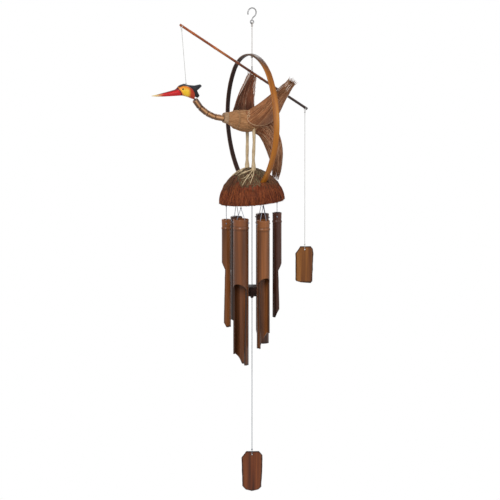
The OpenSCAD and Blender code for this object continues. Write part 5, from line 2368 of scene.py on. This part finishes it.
        def scorch(point: Vector) -> float:
            """How dark a place is: burnt cut edges, dark lines at the groove and below the node's ridge,
            and painted shade down both flanks.

            Args:
                point: The place in millimetres.

            Returns:
                How dark, 0 to 1.
            """
            local = turn.inverted() @ (point - top)
            a = atan2(local.y, -local.x)
            half = opening(local.z)
            edge = abs(abs(a) - half) * r if half < 3.1 else 9.0
            along = local.x * cos(lean) + local.y * sin(lean)
            end = -length + max(0.0, along - level) * rise
            edge = min(edge, (local.z - end) * 0.5)
            burn = 0.85 * (1 - ease(0.3, 3.0, edge))
            ring = 0.55 * exp(-(((local.z + 14.3) / 0.9) ** 2))
            ring += 0.35 * exp(-(((local.z + 21) / 1.6) ** 2))
            # painted shade down both flanks of the tube
            flank = 0.34 * exp(-(((abs(a) - 1.7) / 0.6) ** 2))
            return min(0.9, max(burn, ring, flank))

        mark(tube, "scorch", scorch)

        def bloom_and_highlight(point: Vector) -> float:
            """How pale the skin is: a paler band above the groove, a painted highlight line on the node's
            ridge and a painted highlight streak down the outer face.

            Args:
                point: The place in millimetres.

            Returns:
                How pale, 0 to 1.
            """
            local = turn.inverted() @ (point - top)
            off = pi - abs(atan2(local.y, -local.x))
            # a paler band above the groove, and a painted highlight line on the node's ridge
            lip = 0.6 * ease(-17.5, -15.5, local.z) + 0.5 * exp(-((local.z + self.node_drop) ** 2))
            # a painted highlight streak down the outer face
            return max(lip, 0.4 * exp(-((off / 0.3) ** 2)))

        mark(tube, "bloom_and_highlight", bloom_and_highlight)
        smooth(tube, 50)
        red, green, blue = self.tones[k]
        # its light tone is also the colour of the painted highlights marked above
        skin = BambooFinish(
            f"tube_{k + 1}_skin", (int(red * 0.5), int(green * 0.45), int(blue * 0.42)),
            (red, green, blue), (int(red * 1.28), int(green * 1.32), int(blue * 1.42)),
        )
        hand_in(tube, [skin, Finishes.pith], f"tube_{k + 1}", "tube_bamboo", f"chime_tube_{k + 1}")

    def forked_tie(self, k: int, hole: Vector, holes: Vector) -> None:
        """Build the cord from the coconut that forks into one tube.

        Args:
            k: The tube's number from 0.
            hole: Where the cord leaves the coconut's wall.
            holes: The middle between the tube's two holes.
        """
        r = self.diameters[k] / 2
        turn = Matrix.Rotation(radians(self.angles[k]), 3, "Z")
        side, out = turn @ ASIDE, turn @ Vector((1, 0, 0))
        apex = hole - UP * self.apex_drop
        rope = RopeWork(f"tie_{k + 1}_cord", self.tie)
        rope.run([hole + out * 2.2, hole + out * 0.4 - UP * 0.8, hole - UP * 5, apex])
        rope.knot(apex, self.tie_knot, radians(self.angles[k]))
        fork, outer = r - self.wall - self.tie, r + 0.3 + self.stop_knot / 2
        for sign in (-1, 1):
            rope.run([apex, between(apex, holes + side * sign * fork, 0.5), holes + side * sign * fork,
                      holes + side * sign * outer])
            rope.knot(holes + side * sign * outer, self.stop_knot, k + sign)
        hand_in(rope.make(), [Finishes.grey_cord], f"tie_{k + 1}", "grey_cord", f"tube_tie_{k + 1}")


@dataclass
class StrikerAndSail:
    """Dark wooden striker on the centre cord, and the sail below it."""

    kit: Kit
    cord: float = 1.8
    knot: float = 7.0
    knot_cord: float = 2.2
    radius: float = 23.0
    thick: float = 19.0
    gap: float = 0.3
    foot_gap: float = 0.2
    sail_cord: float = 1.6
    sail_drop: float = 318.0

    def build(self) -> None:
        """Build the centre cord, the striker and the sail."""
        top, low = self.kit.at("striker_swing_side"), self.kit.at("sail_line_swing")
        slate, dark = Finishes.slate_cord, Finishes.dark_cord
        head = RopeWork("centre_knot_cord", self.knot_cord)
        head.knot(top, self.knot)
        head.knot(top, self.knot - 1, 1.2)
        hand_in(head.make(), [dark], "striker_pivot", "dark_cord", "centre_knot")
        start = top - UP * (self.knot / 2 + self.gap)
        rope = RopeWork("striker_line_cord", self.cord)
        tie_down(rope, [start, low], slate, "striker_line", "grey_cord", "taut", "striker_cord")
        foot = RopeWork("striker_line_knot", self.knot_cord)
        foot.knot(low, self.knot)
        foot.knot(low, self.knot - 1, 1.4)
        hand_in(foot.make(), [dark], "striker_line", "dark_cord", "striker_cord")
        self.striker(low + UP * (self.knot / 2 + self.foot_gap))
        sail_top = low + UP * (self.knot / 2 + self.foot_gap - self.sail_drop)
        line_top = low - UP * (self.knot / 2 + self.gap)
        finish = BambooFinish(
            "sail_bamboo", (56, 25, 10), (98, 47, 20), (126, 69, 33), rough=0.42, coat=0.12
        )
        slat = Slat(
            "sail_slat", "wind_sail", 41.0, 80.4,
            ((-0.5, -0.16), (-0.28, 0), (0.34, 0), (0.5, -0.1), (0.49, -0.5), (0.44, -0.9), (0.3, -0.97),
             (0, -1), (-0.3, -0.97), (-0.46, -0.88)),
        )
        slat.hang("sail_line", line_top, sail_top, self.sail_cord, slate, "grey_cord", "sail_cord")
        slat.build(sail_top, finish, "sail", "sail_bamboo")

    def striker(self, foot: Vector) -> None:
        """Turn and roughen the striker.

        Args:
            foot: The middle of its underside.
        """
        r, t = self.radius, self.thick
        profile = [(r * 0.15, 0.0), (r - 4.5, 0.0), (r - 2.4, 0.4), (r - 0.9, 1.5), (r - 0.2, 3.2)]
        profile += [(r - 0.1, between(3.2, t - 3.2, i / 6)) for i in range(1, 7)]
        profile += [(r - 0.9, t - 1.5), (r - 2.4, t - 0.4), (r - 4.5, t), (r * 0.6, t), (r * 0.15, t)]
        disc = lathe("striker_disc", profile, 72, foot)
        roughen(disc, 0.9, 4)
        smooth(disc, 60)
        hand_in(disc, [Finishes.striker], "striker_line", "striker_wood", "striker")


def main() -> None:
    """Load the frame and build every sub-assembly in order."""
    logging.basicConfig(level=logging.INFO, format="%(message)s")
    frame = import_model()
    Studio().build()
    kit = Kit(frame)
    gear = HangingGear(kit)
    cap = CoconutCap(kit)
    assemblies = (
        gear, BalanceRod(kit, gear), StrikerAndSail(kit), TubeSet(kit), Hoop(kit), cap, Bird(kit, cap),
        Neck(kit), Head(),
    )
    for assembly in assemblies:
        assembly.build()


if __name__ == "__main__":
    main()
